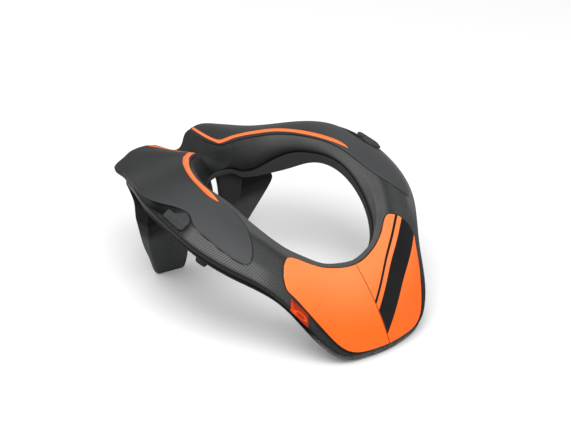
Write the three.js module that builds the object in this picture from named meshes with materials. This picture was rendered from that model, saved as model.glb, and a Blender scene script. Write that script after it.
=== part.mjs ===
// Youth neck brace for motor sport: a moulded ring collar that splits at the front, with a base pad
// under it, two shoulder panels with trim stripes, a chest panel in two halves, a release tab, strap
// hooks and lugs, and two back paddles with soft tongues between them and the neck.
// Millimetres, +Z up. The wearer faces -Y and the wearer's left is +X.
import * as THREE from 'three';

// Driving dimensions
const NECK_AXIS_Y = -16.4;    // the neck axis, measured from the middle of the whole length
const SPLIT_ANGLE = 0.3;      // half of the split at the front, in degrees about the neck axis
const SPLIT_CHAMFER = 0.9;    // how far the two end faces of the collar are broken back
const CHAMFER_ANGLE = 0.6;    // the turn about the neck axis over which they are
const GAP = 0.7;              // clearance between stacked plates
const PAD_GAP = 0.8;          // clearance between the collar and its base pad
const PANEL_THICK = 1.4;      // shoulder panels and chest panels
const STRIPE_THICK = 0.7;
const PAD_EDGE = 3.0;         // thickness of the base pad along its outer edge
const PADDLE_FOOT = 0;        // the paddles stand on the floor
const PADDLE_HEADROOM = 3;    // clearance from a paddle's top to the line of the collar's underside
const TONGUE_HEADROOM = 6.6;  // the same for a tongue, which hangs below the base pad
const CREST_ROUND = { before: 2, past: 5, lift: 1.5 };    // how the crest is rounded into the top
const WALL_AT = [0.3, 0.7];   // where the inner wall swells, as shares of the way from lip to crest
const TOP_AT = [[0.35, 1], [0.72, 0.9]];    // shares of the way over the top, and of the crown there
const UNDER_AT = [0.4, 0.8];  // shares of the way back along the underside
const PAD_AT = [0.15, 0.5, 0.85];           // shares of the way across the base pad
const TAB = { fromAngle: 35, toAngle: 42, fromStep: 6.46, toStep: 7.62, thick: 3.2, rim: 0.35, square: 6 };
const HOOK = { angle: 97.5, step: 6.4, shoulder: 0.45, ridgeFrom: -2.4, ridgeTo: -0.4 };
const LUG = { angle: 81.8, width: 12, drop: 10, thick: 6, corner: 3.5, bevel: 1.2, inset: 4.5, reach: 2 };
const MIRROR = [['left', 1], ['right', -1]];

// How finely the pieces are cut into facets, and the small steps used to find a surface's directions.
const ROWS = { shoulder: 25, chest: 15, stripe: 24, paddle: 12, tongue: 8, tab: 11 };
const ACROSS = { plate: 8, stripe: 3, tab: 7 };
const SMALL = { angle: 0.25, step: 0.01 };

// Sections of the collar about the neck axis, from the front (0) to the back (180 degrees): the inner
// lip, the crest and the outer edge as radius and height, the wall below the edge, the crown of the top,
// the swell of the inner wall, the base pad's inner thickness and how far the pad reaches past the edge.
const SECTION_COLUMNS = ['angle', 'lipR', 'lipZ', 'crestR', 'crestZ', 'edgeR', 'edgeZ',
  'skirt', 'crown', 'swell', 'padIn', 'flange'];
const SECTIONS = [
  [0, 89, 71, 90, 78, 140, 9, 6, 5, 0, 3, 4.5],
  [12, 88, 72, 89, 80, 141, 10, 6, 5, 0, 3, 4],
  [22, 86, 75, 89, 84, 142, 15, 6, 5, 0, 3, 3.4],
  [32, 84, 80, 88, 92, 137, 36, 6, 6, 0, 3, 4],
  [42, 81, 87, 87, 100, 129, 60, 7, 7, 0, 3, 1.5],
  [54, 77, 98, 85, 111, 127, 81, 8, 8, 1, 3, 1.2],
  [66, 73, 110, 83, 121, 130, 94, 8, 8, 2, 4, 1.2],
  [80, 70, 121, 82, 129, 133, 106, 7, 7, 3, 6, 0.8],
  [100, 69, 127, 83, 136, 136, 121, 6, 4, 3, 7, 0],
  [120, 74, 125, 88, 138, 142, 127, 7, 3, 4, 10, -1],
  [135, 80, 120, 93, 138, 148, 122, 8, 3, 5, 15, -8],
  [148, 85, 109, 98, 136, 161, 113, 7, 3, 5, 11, -32],
  [153.5, 87, 103.2, 100.5, 134, 171.5, 110.5, 5, 3, 4.5, 7.5, -50],
  [157.8, 89, 99.5, 103, 132.2, 184.5, 108.8, 3.5, 3, 4, 5, -65],
  [161, 90, 98.8, 103.8, 131, 181.8, 112.6, 3.5, 3, 3.5, 4.4, -66],
  [164.5, 91, 99, 104.5, 129.5, 180.4, 115.5, 4, 2.5, 3, 4, -65],
  [170, 94, 103, 105, 125.7, 173, 118, 5, -0.5, 1, 3, -56],
  [173.5, 95, 104, 110, 121, 168, 116.5, 6, -1, 0, 3, -50],
  [176.5, 96, 104, 120, 115, 161, 112, 6, 0, 0, 3, -42],
  [180, 97, 104, 124, 110.5, 157, 109.5, 6, -2, 0, 3, -38],
];

// Outlines on the collar's top, as an angle and a step across the section (3.5 is the crest and 7.5 the
// outer edge): each row runs from the inner edge to the outer edge of the piece.
const OUTLINE_COLUMNS = ['inAngle', 'inStep', 'outAngle', 'outStep'];
const SHOULDER_OUTLINE = [
  [59.6, 5.75, 59.6, 5.95],
  [60.6, 5.25, 60.9, 6.25],
  [65, 4.5, 66, 6.35],
  [71, 3.9, 73, 6.25],
  [79, 3.35, 81, 6.12],
  [87, 3.05, 89, 6.0],
  [94, 2.95, 94.5, 5.72],
  [100, 2.9, 100, 5.72],
  [107, 2.85, 106.5, 6.0],
  [116, 2.8, 115, 6.58],
  [128, 2.75, 126, 7.1],
  [142, 2.8, 140, 7.25],
  [155, 2.95, 151, 7.3],
  [165, 3.25, 158, 7.3],
  [170.5, 3.7, 162.5, 7.3],
  [172.2, 4.6, 166.5, 7.3],
  [172, 6.5, 170.4, 7.3],
];
const CHEST_OUTLINE = [
  [0.35, 3.75, 0.35, 7.56],
  [8, 3.78, 7.5, 7.52],
  [16, 3.75, 14, 7.36],
  [24, 3.78, 21, 6.96],
  [31, 3.9, 28, 6.55],
  [37, 3.97, 34.5, 6.34],
  [41.5, 4.15, 40.5, 6.22],
  [44, 4.55, 43.9, 6.08],
  [45.1, 5.1, 45.1, 5.6],
];
// The trim stripe, from its pointed front end to a sharp corner and out along the back of the wing.
const STRIPE_OUTLINE = [
  [92, 3.58, 92, 3.66],
  [98, 3.32, 98.5, 3.86],
  [110, 3.0, 111, 3.72],
  [126, 2.95, 126, 3.62],
  [141, 3.05, 139.5, 3.68],
  [153, 3.2, 150, 3.82],
  [162, 3.42, 159.5, 3.88],
  [168, 3.7, 165.8, 4.08],
  [171.4, 4.05, 168.9, 4.3],
  [171.5, 4.5, 169.9, 4.62],
  [171.2, 5.4, 169.9, 5.45],
  [170.5, 6.9, 169.3, 6.95],
];

// Back paddle and soft tongue by height: depth of the middle, inner and outer sides, thickness at both
// sides, and how far the outer side lies behind the inner one.
const BLADE_COLUMNS = ['height', 'middleY', 'innerX', 'outerX', 'innerThick', 'outerThick', 'twist'];
const PADDLE_ROWS = [
  [97, 134.5, 30, 72, 17, 35, 0],
  [90.5, 125.5, 29.5, 76.5, 14, 27, 0],
  [82.5, 119.5, 27, 80, 12, 22.5, 0],
  [73, 117, 23, 82, 10.5, 20.5, 0],
  [64, 116, 20, 81.5, 9, 17.5, 0],
  [40, 121, 19, 73, 8, 11, 2],
  [20, 124.5, 20.5, 63, 8, 7.5, 4],
  [6, 126.5, 22.5, 56.5, 8, 6.5, 5.5],
  [PADDLE_FOOT, 127, 25, 53, 6, 6, 6],
];
const TONGUE_ROWS = [
  [94, 104, 4.5, 30, 6, 11, 0],
  [88, 102, 4.5, 31, 6, 12, 0],
  [78, 101, 5.2, 30, 6, 12, 0],
  [68, 101, 8.4, 27, 6, 11, 0],
  [61, 101.5, 13, 22, 5, 7, 0],
];

// Level section of a paddle or a tongue: the way from its inner to its outer side, and the depth there
// as a share of half the thickness.
const BLADE_SECTION = [
  [0, -0.5], [0.06, -0.92], [0.2, -1], [0.5, -1], [0.8, -1], [0.94, -0.92], [1, -0.5],
  [1, 0.5], [0.94, 0.92], [0.8, 1], [0.5, 1], [0.2, 1], [0.06, 0.92], [0, 0.5],
];

// Strap hook along the arm: inner and outer side, top and underside. The bar is free behind its foot,
// which widens into the notch of the shoulder panel.
const HOOK_COLUMNS = ['along', 'inner', 'outer', 'top', 'under'];
const HOOK_ROWS = [
  [-13.5, -2.6, 3.4, 3.2, 1.8],
  [-12, -3.2, 5.2, 4.4, 1.4],
  [-6.5, -3.4, 5.5, 4.8, 1.4],
  [-5.5, -4.2, 5.5, 4.8, 0.5],
  [1.5, -10.4, 5.5, 4.9, 0.5],
  [5, -10.6, 5.4, 4.9, 0.5],
  [10.5, -9, 5, 4.6, 0.5],
  [13.8, -4.5, 3.4, 3.4, 0.5],
];

const FINISH = {
  shell: { color: 0x2b2d2e, roughness: 0.55 },
  pad: { color: 0x202223, roughness: 0.7 },
  panel: { color: 0x3e4043, roughness: 0.6 },
  orange: { color: 0xf4711f, roughness: 0.45 },
  tab: { color: 0xd84312, roughness: 0.45 },
  hard: { color: 0x45484a, roughness: 0.4 },
};

const rad = THREE.MathUtils.degToRad;
const lerp = THREE.MathUtils.lerp;
const mix = (a, b, t) => [lerp(a[0], b[0], t), lerp(a[1], b[1], t)];
const along = (a, v, s) => [a[0] + v[0] * s, a[1] + v[1] * s];
const named = (columns, values) => Object.fromEntries(columns.map((name, c) => [name, values[c]]));
const centre = (ring) => ring.reduce((sum, p) => sum.add(p), new THREE.Vector3()).divideScalar(ring.length);

/** A smooth curve through the rows of one column: cubic, level at both ends. */
function spline(x, y) {
  const n = x.length;
  const slope = new Array(n).fill(0);
  const sweep = new Array(n).fill(0);
  for (let i = 1; i < n - 1; i += 1) {
    const h0 = x[i] - x[i - 1];
    const h1 = x[i + 1] - x[i];
    const right = 3 * ((y[i] - y[i - 1]) / h0 ** 2 + (y[i + 1] - y[i]) / h1 ** 2);
    const pivot = 2 * (1 / h0 + 1 / h1) - sweep[i - 1] / h0;
    sweep[i] = 1 / h1 / pivot;
    slope[i] = (right - slope[i - 1] / h0) / pivot;
  }
  for (let i = n - 3; i > 0; i -= 1) slope[i] -= sweep[i] * slope[i + 1];
  return (q) => {
    let k = 0;
    while (k < n - 2 && q > x[k + 1]) k += 1;
    const h = x[k + 1] - x[k];
    const t = (q - x[k]) / h;
    return (2 * t ** 3 - 3 * t ** 2 + 1) * y[k] + (t ** 3 - 2 * t ** 2 + t) * h * slope[k]
      + (3 * t ** 2 - 2 * t ** 3) * y[k + 1] + (t ** 3 - t ** 2) * h * slope[k + 1];
  };
}

/** A table as a function of its first column, or of the row number, giving the named columns. */
function smoothTable(columns, rows, byRow = false) {
  const at = byRow ? rows.map((row, i) => i) : rows.map((row) => row[0]);
  const curves = columns.map((name, c) => spline(at, rows.map((row) => row[c])));
  return (q) => named(columns, curves.map((curve) => curve(q)));
}

const sectionAt = smoothTable(SECTION_COLUMNS, SECTIONS);

/** Unit direction of a section's line and the direction square to it, to its left. */
function lineFrame(from, to) {
  const length = Math.hypot(to[0] - from[0], to[1] - from[1]);
  const unit = [(to[0] - from[0]) / length, (to[1] - from[1]) / length];
  return { unit, square: [-unit[1], unit[0]] };
}

/** Corner points of a collar section in radius and height. */
function corners(angle) {
  const p = sectionAt(angle);
  const lip = [p.lipR, p.lipZ];
  const crest = [p.crestR, p.crestZ];
  const edge = [p.edgeR, p.edgeZ];
  const top = lineFrame(crest, edge);
  return { p, lip, crest, edge, top, under: along(edge, top.square, -p.skirt) };
}

/** Control points of the collar's section: up the inner wall, over the top and back under. */
function shellControl(angle) {
  const { p, lip, crest, edge, top, under } = corners(angle);
  return [
    lip,
    ...WALL_AT.map((t) => along(mix(lip, crest, t), [-p.swell, 0], 1)),
    along(crest, top.unit, -CREST_ROUND.before),
    along(along(crest, top.unit, CREST_ROUND.past), top.square, CREST_ROUND.lift),
    ...TOP_AT.map(([t, share]) => along(mix(crest, edge, t), top.square, share * p.crown)),
    edge, edge,
    under, under,
    ...UNDER_AT.map((t) => mix(under, lip, t)),
  ];
}

/** Corner points of the base pad's section, which lies against the underside of the collar. */
function padCorners(angle) {
  const { p, lip, under } = corners(angle);
  const base = lineFrame(under, lip);
  const outer = along(along(under, base.square, PAD_GAP), base.unit, -p.flange);
  const inner = along(lip, base.square, PAD_GAP);
  const outerLow = along(outer, base.square, PAD_EDGE);
  const innerLow = along(inner, base.square, p.padIn);
  return { outer, inner, outerLow, innerLow };
}

/** Control points of the base pad's section. */
function padControl(angle) {
  const { outer, inner, outerLow, innerLow } = padCorners(angle);
  const across = (from, to) => PAD_AT.map((t) => mix(from, to, t));
  return [outer, outer, ...across(outer, inner), inner, inner,
    innerLow, innerLow, ...across(innerLow, outerLow), outerLow, outerLow];
}

/** Point of a closed uniform cubic B-spline at a step along its control points. */
function splinePoint(control, step) {
  const n = control.length;
  const i = Math.floor(step);
  const t = step - i;
  const weights = [(1 - t) ** 3 / 6, (3 * t ** 3 - 6 * t ** 2 + 4) / 6,
    (-3 * t ** 3 + 3 * t ** 2 + 3 * t + 1) / 6, t ** 3 / 6];
  return [0, 1].map((axis) => weights.reduce(
    (sum, w, k) => sum + w * control[(i + k - 1 + 2 * n) % n][axis], 0));
}

/** A section's point carried round the neck axis to its angle. */
function around(angle, [r, z]) {
  return new THREE.Vector3(r * Math.sin(rad(angle)), NECK_AXIS_Y - r * Math.cos(rad(angle)), z);
}

const shellPoint = (angle, step) => around(angle, splinePoint(shellControl(angle), step));

/** Directions on the collar's surface: back along the ring, across the section, and outward. */
function surfaceFrame(angle, step) {
  const back = shellPoint(angle + SMALL.angle, step).sub(shellPoint(angle - SMALL.angle, step));
  const across = shellPoint(angle, step + SMALL.step).sub(shellPoint(angle, step - SMALL.step));
  back.divideScalar(2 * SMALL.angle);
  across.divideScalar(2 * SMALL.step);
  return { back, across, out: across.clone().cross(back).normalize() };
}

/** A point lifted off the collar's surface. */
function lifted(angle, step, lift) {
  return shellPoint(angle, step).addScaledVector(surfaceFrame(angle, step).out, lift);
}

/** Evenly spaced numbers, both ends included. */
const spaced = (from, to, count) => Array.from({ length: count }, (_, i) => lerp(from, to, i / (count - 1)));

/** A closed solid through rings of points, with flat ends, turned so that its faces point out. */
function loft(rings) {
  const m = rings[0].length;
  const points = rings.flat();
  const faces = [];
  for (let i = 0; i < rings.length - 1; i += 1) {
    for (let j = 0; j < m; j += 1) {
      const a = i * m + j;
      const b = i * m + (j + 1) % m;
      faces.push([a, b, b + m], [a, b + m, a + m]);
    }
  }
  const cap = (ring, first, flip) => {
    const middle = centre(ring);
    const spokes = ring.map((p) => p.clone().sub(middle));
    const normal = spokes.reduce(
      (sum, spoke, j) => sum.add(spoke.clone().cross(spokes[(j + 1) % m])), new THREE.Vector3()).normalize();
    const u = spokes[0].clone().projectOnPlane(normal).normalize();
    const v = normal.clone().cross(u);
    const flat = spokes.map((spoke) => new THREE.Vector2(spoke.dot(u), spoke.dot(v)));
    THREE.ShapeUtils.triangulateShape(flat, []).forEach(([a, b, c]) => {
      faces.push(flip ? [first + a, first + c, first + b] : [first + a, first + b, first + c]);
    });
  };
  cap(rings[0], 0, true);
  cap(rings[rings.length - 1], (rings.length - 1) * m, false);
  const volume = faces.reduce(
    (sum, [a, b, c]) => sum + points[a].dot(points[b].clone().cross(points[c])), 0);
  const geometry = new THREE.BufferGeometry().setFromPoints(points);
  geometry.setIndex(faces.flatMap(([a, b, c]) => (volume > 0 ? [a, b, c] : [a, c, b])));
  return geometry;
}

const mirrored = (point, side) => new THREE.Vector3(side * point.x, point.y, point.z);
const onSide = (rings, side) => rings.map((ring) => ring.map((p) => mirrored(p, side)));

/** Rings right round the neck from one side of the split to the other. */
function ringRound(control, steps, angles) {
  const half = angles.map((angle) => {
    const points = control(angle);
    return steps.map((step) => around(angle, splinePoint(points, step)));
  });
  const other = onSide(half.slice(0, -1), -1).reverse();
  return [...half, ...other];
}

/** End faces broken back: the first and last ring drawn in towards their middle. */
function brokenEnds(rings) {
  const drawnIn = (ring) => {
    const middle = centre(ring);
    return ring.map((p) => p.clone().addScaledVector(middle.clone().sub(p).normalize(), SPLIT_CHAMFER));
  };
  return [drawnIn(rings[0]), ...rings.slice(1, -1), drawnIn(rings[rings.length - 1])];
}

// Where the collar and its base pad are cut: angles round one side, closer together over the wing, and
// steps round each section, closer together at its corners.
const SIDE_ANGLES = [
  SPLIT_ANGLE, SPLIT_ANGLE + CHAMFER_ANGLE, ...spaced(6, 138, 22), ...spaced(141, 180, 14),
];
const SHELL_STEPS = [0, 0.7, 1.5, 2.3, 3, 3.5, 4, 4.7, 5.4, 6, 6.6, 7.1, 7.6, 8.1, 8.6, 9.2, 9.8,
  10.6, 11.4, 12.2];
const PAD_STEPS = [0, 0.8, 2.5, 4.4, 5.2, 6, 7, 7.8, 9.5, 11.4, 12.4, 13.2];

const collarShell = () => loft(brokenEnds(ringRound(shellControl, SHELL_STEPS, SIDE_ANGLES)));
const basePad = () => loft(brokenEnds(ringRound(padControl, PAD_STEPS, SIDE_ANGLES)));

/** A thin plate over the collar's top within an outline. */
function plate(outline, rowCount, acrossCount, low, thick) {
  const rowAt = smoothTable(OUTLINE_COLUMNS, outline, true);
  return spaced(0, outline.length - 1, rowCount).map((q) => {
    const row = rowAt(q);
    const line = (lift) => spaced(0, 1, acrossCount).map((w) => lifted(
      lerp(row.inAngle, row.outAngle, w), lerp(row.inStep, row.outStep, w), lift));
    return [...line(low + thick), ...line(low).reverse()];
  });
}

/** The release tab: a pillow-backed lever that lies along the outer edge of the chest. */
function releaseTab() {
  const round = (t) => Math.sqrt(Math.max(0, 1 - (2 * t - 1) ** TAB.square));
  return spaced(0, 1, ROWS.tab).map((t) => {
    const line = (height) => spaced(0, 1, ACROSS.tab).map((w) => lifted(
      lerp(TAB.fromAngle, TAB.toAngle, t), lerp(TAB.fromStep, TAB.toStep, w), GAP + height(w)));
    const top = (w) => lerp(TAB.rim, 1, round(t) * round(w)) * TAB.thick;
    return [...line(top), ...line(() => 0).reverse()];
  });
}

/** Height of the collar's underside over a point of the floor plan. */
function undersideHeight(x, y) {
  const angle = THREE.MathUtils.radToDeg(Math.atan2(Math.abs(x), NECK_AXIS_Y - y));
  const { lip, under } = corners(angle);
  const t = (Math.hypot(x, y - NECK_AXIS_Y) - lip[0]) / (under[0] - lip[0]);
  return lerp(lip[1], under[1], THREE.MathUtils.clamp(t, 0, 1));
}

/** A blade that hangs from the collar's underside: level sections with rounded sides by height. */
function blade(rows, rowCount, headroom) {
  const rowAt = smoothTable(BLADE_COLUMNS, rows, true);
  const outline = (row) => BLADE_SECTION.map(([way, depth]) => {
    const half = lerp(row.innerThick, row.outerThick, way) / 2;
    const middle = NECK_AXIS_Y + row.middleY + lerp(-row.twist, row.twist, way) / 2;
    return new THREE.Vector3(lerp(row.innerX, row.outerX, way), middle + depth * half, row.height);
  });
  const rings = spaced(0, rows.length - 1, rowCount).map((q) => outline(rowAt(q)));
  const top = rings[0].map((p) => new THREE.Vector3(p.x, p.y, undersideHeight(p.x, p.y) - headroom));
  return [top, ...rings];
}

/** A strap hook in its own frame: a faceted bar along x whose foot stands on the arm of that side. */
function strapHook(side) {
  return loft(HOOK_ROWS.map((values) => {
    const row = named(HOOK_COLUMNS, values);
    const shoulder = lerp(row.under, row.top, HOOK.shoulder);
    return [
      [row.inner, row.under], [row.outer, row.under], [row.outer, shoulder],
      [HOOK.ridgeTo, row.top], [HOOK.ridgeFrom, row.top], [row.inner, shoulder],
    ].map(([y, z]) => new THREE.Vector3(row.along, side * y, z));
  }));
}

/** Where a strap lug hangs: under the outer edge of the base pad, square to the pad's lower face. */
function lugFrame() {
  const { outerLow, innerLow } = padCorners(LUG.angle);
  const face = lineFrame(outerLow, innerLow);
  const low = along(along(outerLow, face.square, GAP), face.unit, LUG.inset);
  const rim = around(LUG.angle, low);
  const toward = (v) => around(LUG.angle, along(low, v, 1)).sub(rim);
  const rimAt = (angle) => around(angle, padCorners(angle).outerLow);
  const run = rimAt(LUG.angle + LUG.reach).sub(rimAt(LUG.angle - LUG.reach)).normalize();
  const outward = toward(face.unit).negate();
  outward.addScaledVector(run, -outward.dot(run)).normalize();
  return { rim, outward, below: run.cross(outward) };
}

/** A strap lug in its own frame: a rounded tab that hangs down from the rim of the arm. */
function strapLug() {
  const { width, drop, thick, corner, bevel } = LUG;
  const half = width / 2;
  const shape = new THREE.Shape();
  shape.moveTo(-half, 0);
  shape.lineTo(-half, corner - drop);
  shape.absarc(corner - half, corner - drop, corner, Math.PI, 1.5 * Math.PI, false);
  shape.absarc(half - corner, corner - drop, corner, 1.5 * Math.PI, 2 * Math.PI, false);
  shape.lineTo(half, 0);
  return new THREE.ExtrudeGeometry(shape, {
    depth: thick - 2 * bevel, curveSegments: 3,
    bevelThickness: bevel, bevelSize: bevel, bevelOffset: -bevel, bevelSegments: 2,
  }).translate(0, 0, bevel - thick / 2);
}

const brace = new THREE.Group();

/** Puts one named piece with a material of its own into the brace. */
function piece(name, geometry, finish) {
  const mesh = new THREE.Mesh(geometry, new THREE.MeshStandardMaterial({ ...finish, metalness: 0 }));
  mesh.name = name;
  brace.add(mesh);
  return mesh;
}

/** Sets a piece down at a point with its own axes along three square directions. */
function seat(mesh, point, x, y, z) {
  mesh.position.copy(point);
  mesh.quaternion.setFromRotationMatrix(new THREE.Matrix4().makeBasis(x, y, z));
}

piece('collar_shell', collarShell(), FINISH.shell);
piece('base_pad', basePad(), FINISH.pad);
piece('release_tab', loft(onSide(releaseTab(), -1)), FINISH.tab);

const shoulderRings = plate(SHOULDER_OUTLINE, ROWS.shoulder, ACROSS.plate, GAP, PANEL_THICK);
const chestRings = plate(CHEST_OUTLINE, ROWS.chest, ACROSS.plate, GAP, PANEL_THICK);
const stripeRings = plate(STRIPE_OUTLINE, ROWS.stripe, ACROSS.stripe, GAP + PANEL_THICK + GAP, STRIPE_THICK);
const paddleRings = blade(PADDLE_ROWS, ROWS.paddle, PADDLE_HEADROOM);
const tongueRings = blade(TONGUE_ROWS, ROWS.tongue, TONGUE_HEADROOM);

MIRROR.forEach(([label, side]) => {
  piece(`shoulder_panel_${label}`, loft(onSide(shoulderRings, side)), FINISH.panel);
  piece(`trim_stripe_${label}`, loft(onSide(stripeRings, side)), FINISH.orange);
  piece(`chest_panel_${label}`, loft(onSide(chestRings, side)), FINISH.orange);
  piece(`back_paddle_${label}`, loft(onSide(paddleRings, side)), FINISH.pad);
  piece(`neck_tongue_${label}`, loft(onSide(tongueRings, side)), FINISH.pad);

  const { back, out } = surfaceFrame(HOOK.angle, HOOK.step);
  const run = mirrored(back.negate().normalize(), side);
  const normal = mirrored(out, side);
  const hook = piece(`strap_hook_${label}`, strapHook(side), FINISH.hard);
  seat(hook, mirrored(shellPoint(HOOK.angle, HOOK.step), side), run, normal.clone().cross(run), normal);

  const { outward, below, rim } = lugFrame();
  const up = mirrored(below.negate(), side);
  const face = mirrored(outward, side);
  const lug = piece(`strap_lug_${label}`, strapLug(), FINISH.pad);
  seat(lug, mirrored(rim, side), up.clone().cross(face), up, face);
});

export default brace;
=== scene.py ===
"""Looks of a youth neck brace: each piece as a fine surface with its own finish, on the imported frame.

The tables hold millimetres and degrees about the neck axis, and meshes are put down in metres.
The wearer faces -Y and the wearer's left is +X.
"""

import logging
import math
from abc import ABC, abstractmethod
from dataclasses import dataclass, field
from enum import Enum
from typing import Any

import bpy
import numpy as np
from mathutils import Matrix, Vector


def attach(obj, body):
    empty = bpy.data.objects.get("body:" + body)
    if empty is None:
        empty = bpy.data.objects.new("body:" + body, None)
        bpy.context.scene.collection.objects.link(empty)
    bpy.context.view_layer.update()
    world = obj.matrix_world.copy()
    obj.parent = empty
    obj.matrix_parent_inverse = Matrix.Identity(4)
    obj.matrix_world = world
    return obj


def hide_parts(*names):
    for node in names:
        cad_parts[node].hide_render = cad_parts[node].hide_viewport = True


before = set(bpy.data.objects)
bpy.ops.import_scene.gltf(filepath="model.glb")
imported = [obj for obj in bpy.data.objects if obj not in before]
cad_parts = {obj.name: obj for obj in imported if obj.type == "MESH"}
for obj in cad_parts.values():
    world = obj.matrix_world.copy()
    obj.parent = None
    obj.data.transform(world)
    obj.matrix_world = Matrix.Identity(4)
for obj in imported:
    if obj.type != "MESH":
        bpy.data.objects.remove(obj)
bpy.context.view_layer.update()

LOG = logging.getLogger("neck_brace")
Array = np.ndarray
Colour = tuple[float, float, float, float]

MM = 0.001
NECK_AXIS_Y = -16.4
MEAN_RADIUS = 115.0
BACK_ANGLE = 180.0
FULL_TURN = 2 * BACK_ANGLE
SHEET_MAP = "OFBake"
TRACE = "trace"
MARKS = "marks"
RELIEF = "relief"

# Where a tube's faces lie in the unit square: its walls' share, and its two ends as small discs.
WALL_SHARE = 0.92
END_RADIUS = 0.03
END_PLACES = ((0.96, 0.25), (0.96, 0.75))

# Where a slab's faces lie there: its upper face, its lower face at half height, and its rim.
TOP_SHARE = 0.6
UNDER_SHARE = 0.5
UNDER_START = 0.62
RIM_STRIP = (0.94, 1.0)


class Side(Enum):
    """The wearer's two sides, with the sign of X there."""

    LEFT = 1
    RIGHT = -1

    @property
    def label(self) -> str:
        """The ending of a piece's name on this side."""
        return self.name.lower()


class Body(Enum):
    """The rigid bodies of the brace."""

    BRACE = "brace"
    TAB = "tab"


def spline(x: Array, y: Array, q: Array) -> Array:
    """Smooth curves through the rows of a table.

    Cubic pieces whose slopes at the inner rows make the bending continuous, level at both ends.

    Args:
        x: Places of the rows, rising.
        y: Values of the rows, one column for each curve.
        q: Places to find, of any shape.

    Returns:
        The curves' values, with one axis more than q.
    """
    h = np.diff(x)
    n = len(x)
    inner = np.arange(1, n - 1)
    system = np.eye(n)
    system[inner, inner - 1] = 1 / h[:-1]
    system[inner, inner] = 2 * (1 / h[:-1] + 1 / h[1:])
    system[inner, inner + 1] = 1 / h[1:]
    rise = np.diff(y, axis=0)
    right = np.zeros_like(y)
    right[1:-1] = 3 * (rise[:-1] / h[:-1, None] ** 2 + rise[1:] / h[1:, None] ** 2)
    slope = np.linalg.solve(system, right)
    k = np.clip(np.searchsorted(x, q, side="right") - 1, 0, n - 2)
    t = ((q - x[k]) / h[k])[..., None]
    step = h[k][..., None]
    return (
        (2 * t**3 - 3 * t**2 + 1) * y[k]
        + (t**3 - 2 * t**2 + t) * step * slope[k]
        + (3 * t**2 - 2 * t**3) * y[k + 1]
        + (t**3 - t**2) * step * slope[k + 1]
    )


@dataclass(frozen=True)
class Table:
    """A short table whose named columns run smoothly from row to row.

    Attributes:
        columns: The columns' names, with spaces between them.
        rows: The values.
        by_row: True to look rows up by their number, False by their first value.
    """

    columns: str
    rows: tuple[tuple[float, ...], ...]
    by_row: bool = True

    @property
    def last(self) -> int:
        """The number of the last row."""
        return len(self.rows) - 1

    def at(self, place: Array) -> dict[str, Array]:
        """The columns at places of any shape, by name.

        Args:
            place: Row numbers, or first values.

        Returns:
            An array for each column.
        """
        values = np.array(self.rows, float)
        x = np.arange(len(values), dtype=float) if self.by_row else values[:, 0]
        smooth = spline(x, values, np.asarray(place, float))
        return {name: smooth[..., i] for i, name in enumerate(self.columns.split())}


SECTIONS = Table(
    "angle lip_r lip_z crest_r crest_z edge_r edge_z skirt crown swell pad_in flange",
    (
        (0, 89, 71, 90, 78, 140, 9, 6, 5, 0, 3, 4.5),
        (12, 88, 72, 89, 80, 141, 10, 6, 5, 0, 3, 4),
        (22, 86, 75, 89, 84, 142, 15, 6, 5, 0, 3, 3.4),
        (32, 84, 80, 88, 92, 137, 36, 6, 6, 0, 3, 4),
        (42, 81, 87, 87, 100, 129, 60, 7, 7, 0, 3, 1.5),
        (54, 77, 98, 85, 111, 127, 81, 8, 8, 1, 3, 1.2),
        (66, 73, 110, 83, 121, 130, 94, 8, 8, 2, 4, 1.2),
        (80, 70, 121, 82, 129, 133, 106, 7, 7, 3, 6, 0.8),
        (100, 69, 127, 83, 136, 136, 121, 6, 4, 3, 7, 0),
        (120, 74, 125, 88, 138, 142, 127, 7, 3, 4, 10, -1),
        (135, 80, 120, 93, 138, 148, 122, 8, 3, 5, 15, -8),
        (148, 85, 109, 98, 136, 161, 113, 7, 3, 5, 11, -32),
        (153.5, 87, 103.2, 100.5, 134, 171.5, 110.5, 5, 3, 4.5, 7.5, -50),
        (157.8, 89, 99.5, 103, 132.2, 184.5, 108.8, 3.5, 3, 4, 5, -65),
        (161, 90, 98.8, 103.8, 131, 181.8, 112.6, 3.5, 3, 3.5, 4.4, -66),
        (164.5, 91, 99, 104.5, 129.5, 180.4, 115.5, 4, 2.5, 3, 4, -65),
        (170, 94, 103, 105, 125.7, 173, 118, 5, -0.5, 1, 3, -56),
        (173.5, 95, 104, 110, 121, 168, 116.5, 6, -1, 0, 3, -50),
        (176.5, 96, 104, 120, 115, 161, 112, 6, 0, 0, 3, -42),
        (180, 97, 104, 124, 110.5, 157, 109.5, 6, -2, 0, 3, -38),
    ),
    by_row=False,
)
SHOULDER_OUTLINE = Table(
    "in_angle in_step out_angle out_step",
    (
        (59.6, 5.75, 59.6, 5.95),
        (60.6, 5.25, 60.9, 6.25),
        (65, 4.5, 66, 6.35),
        (71, 3.9, 73, 6.25),
        (79, 3.35, 81, 6.12),
        (87, 3.05, 89, 6.0),
        (94, 2.95, 94.5, 5.72),
        (100, 2.9, 100, 5.72),
        (107, 2.85, 106.5, 6.0),
        (116, 2.8, 115, 6.58),
        (128, 2.75, 126, 7.1),
        (142, 2.8, 140, 7.25),
        (155, 2.95, 151, 7.3),
        (165, 3.25, 158, 7.3),
        (170.5, 3.7, 162.5, 7.3),
        (172.2, 4.6, 166.5, 7.3),
        (172, 6.5, 170.4, 7.3),
    ),
)
CHEST_OUTLINE = Table(
    "in_angle in_step out_angle out_step",
    (
        (0.12, 3.75, 0.12, 7.56),
        (8, 3.78, 7.5, 7.52),
        (16, 3.75, 14, 7.36),
        (24, 3.78, 21, 6.96),
        (31, 3.9, 28, 6.55),
        (37, 3.97, 34.5, 6.34),
        (41.5, 4.15, 40.5, 6.22),
        (44, 4.55, 43.9, 6.08),
        (45.1, 5.1, 45.1, 5.6),
    ),
)
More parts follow.
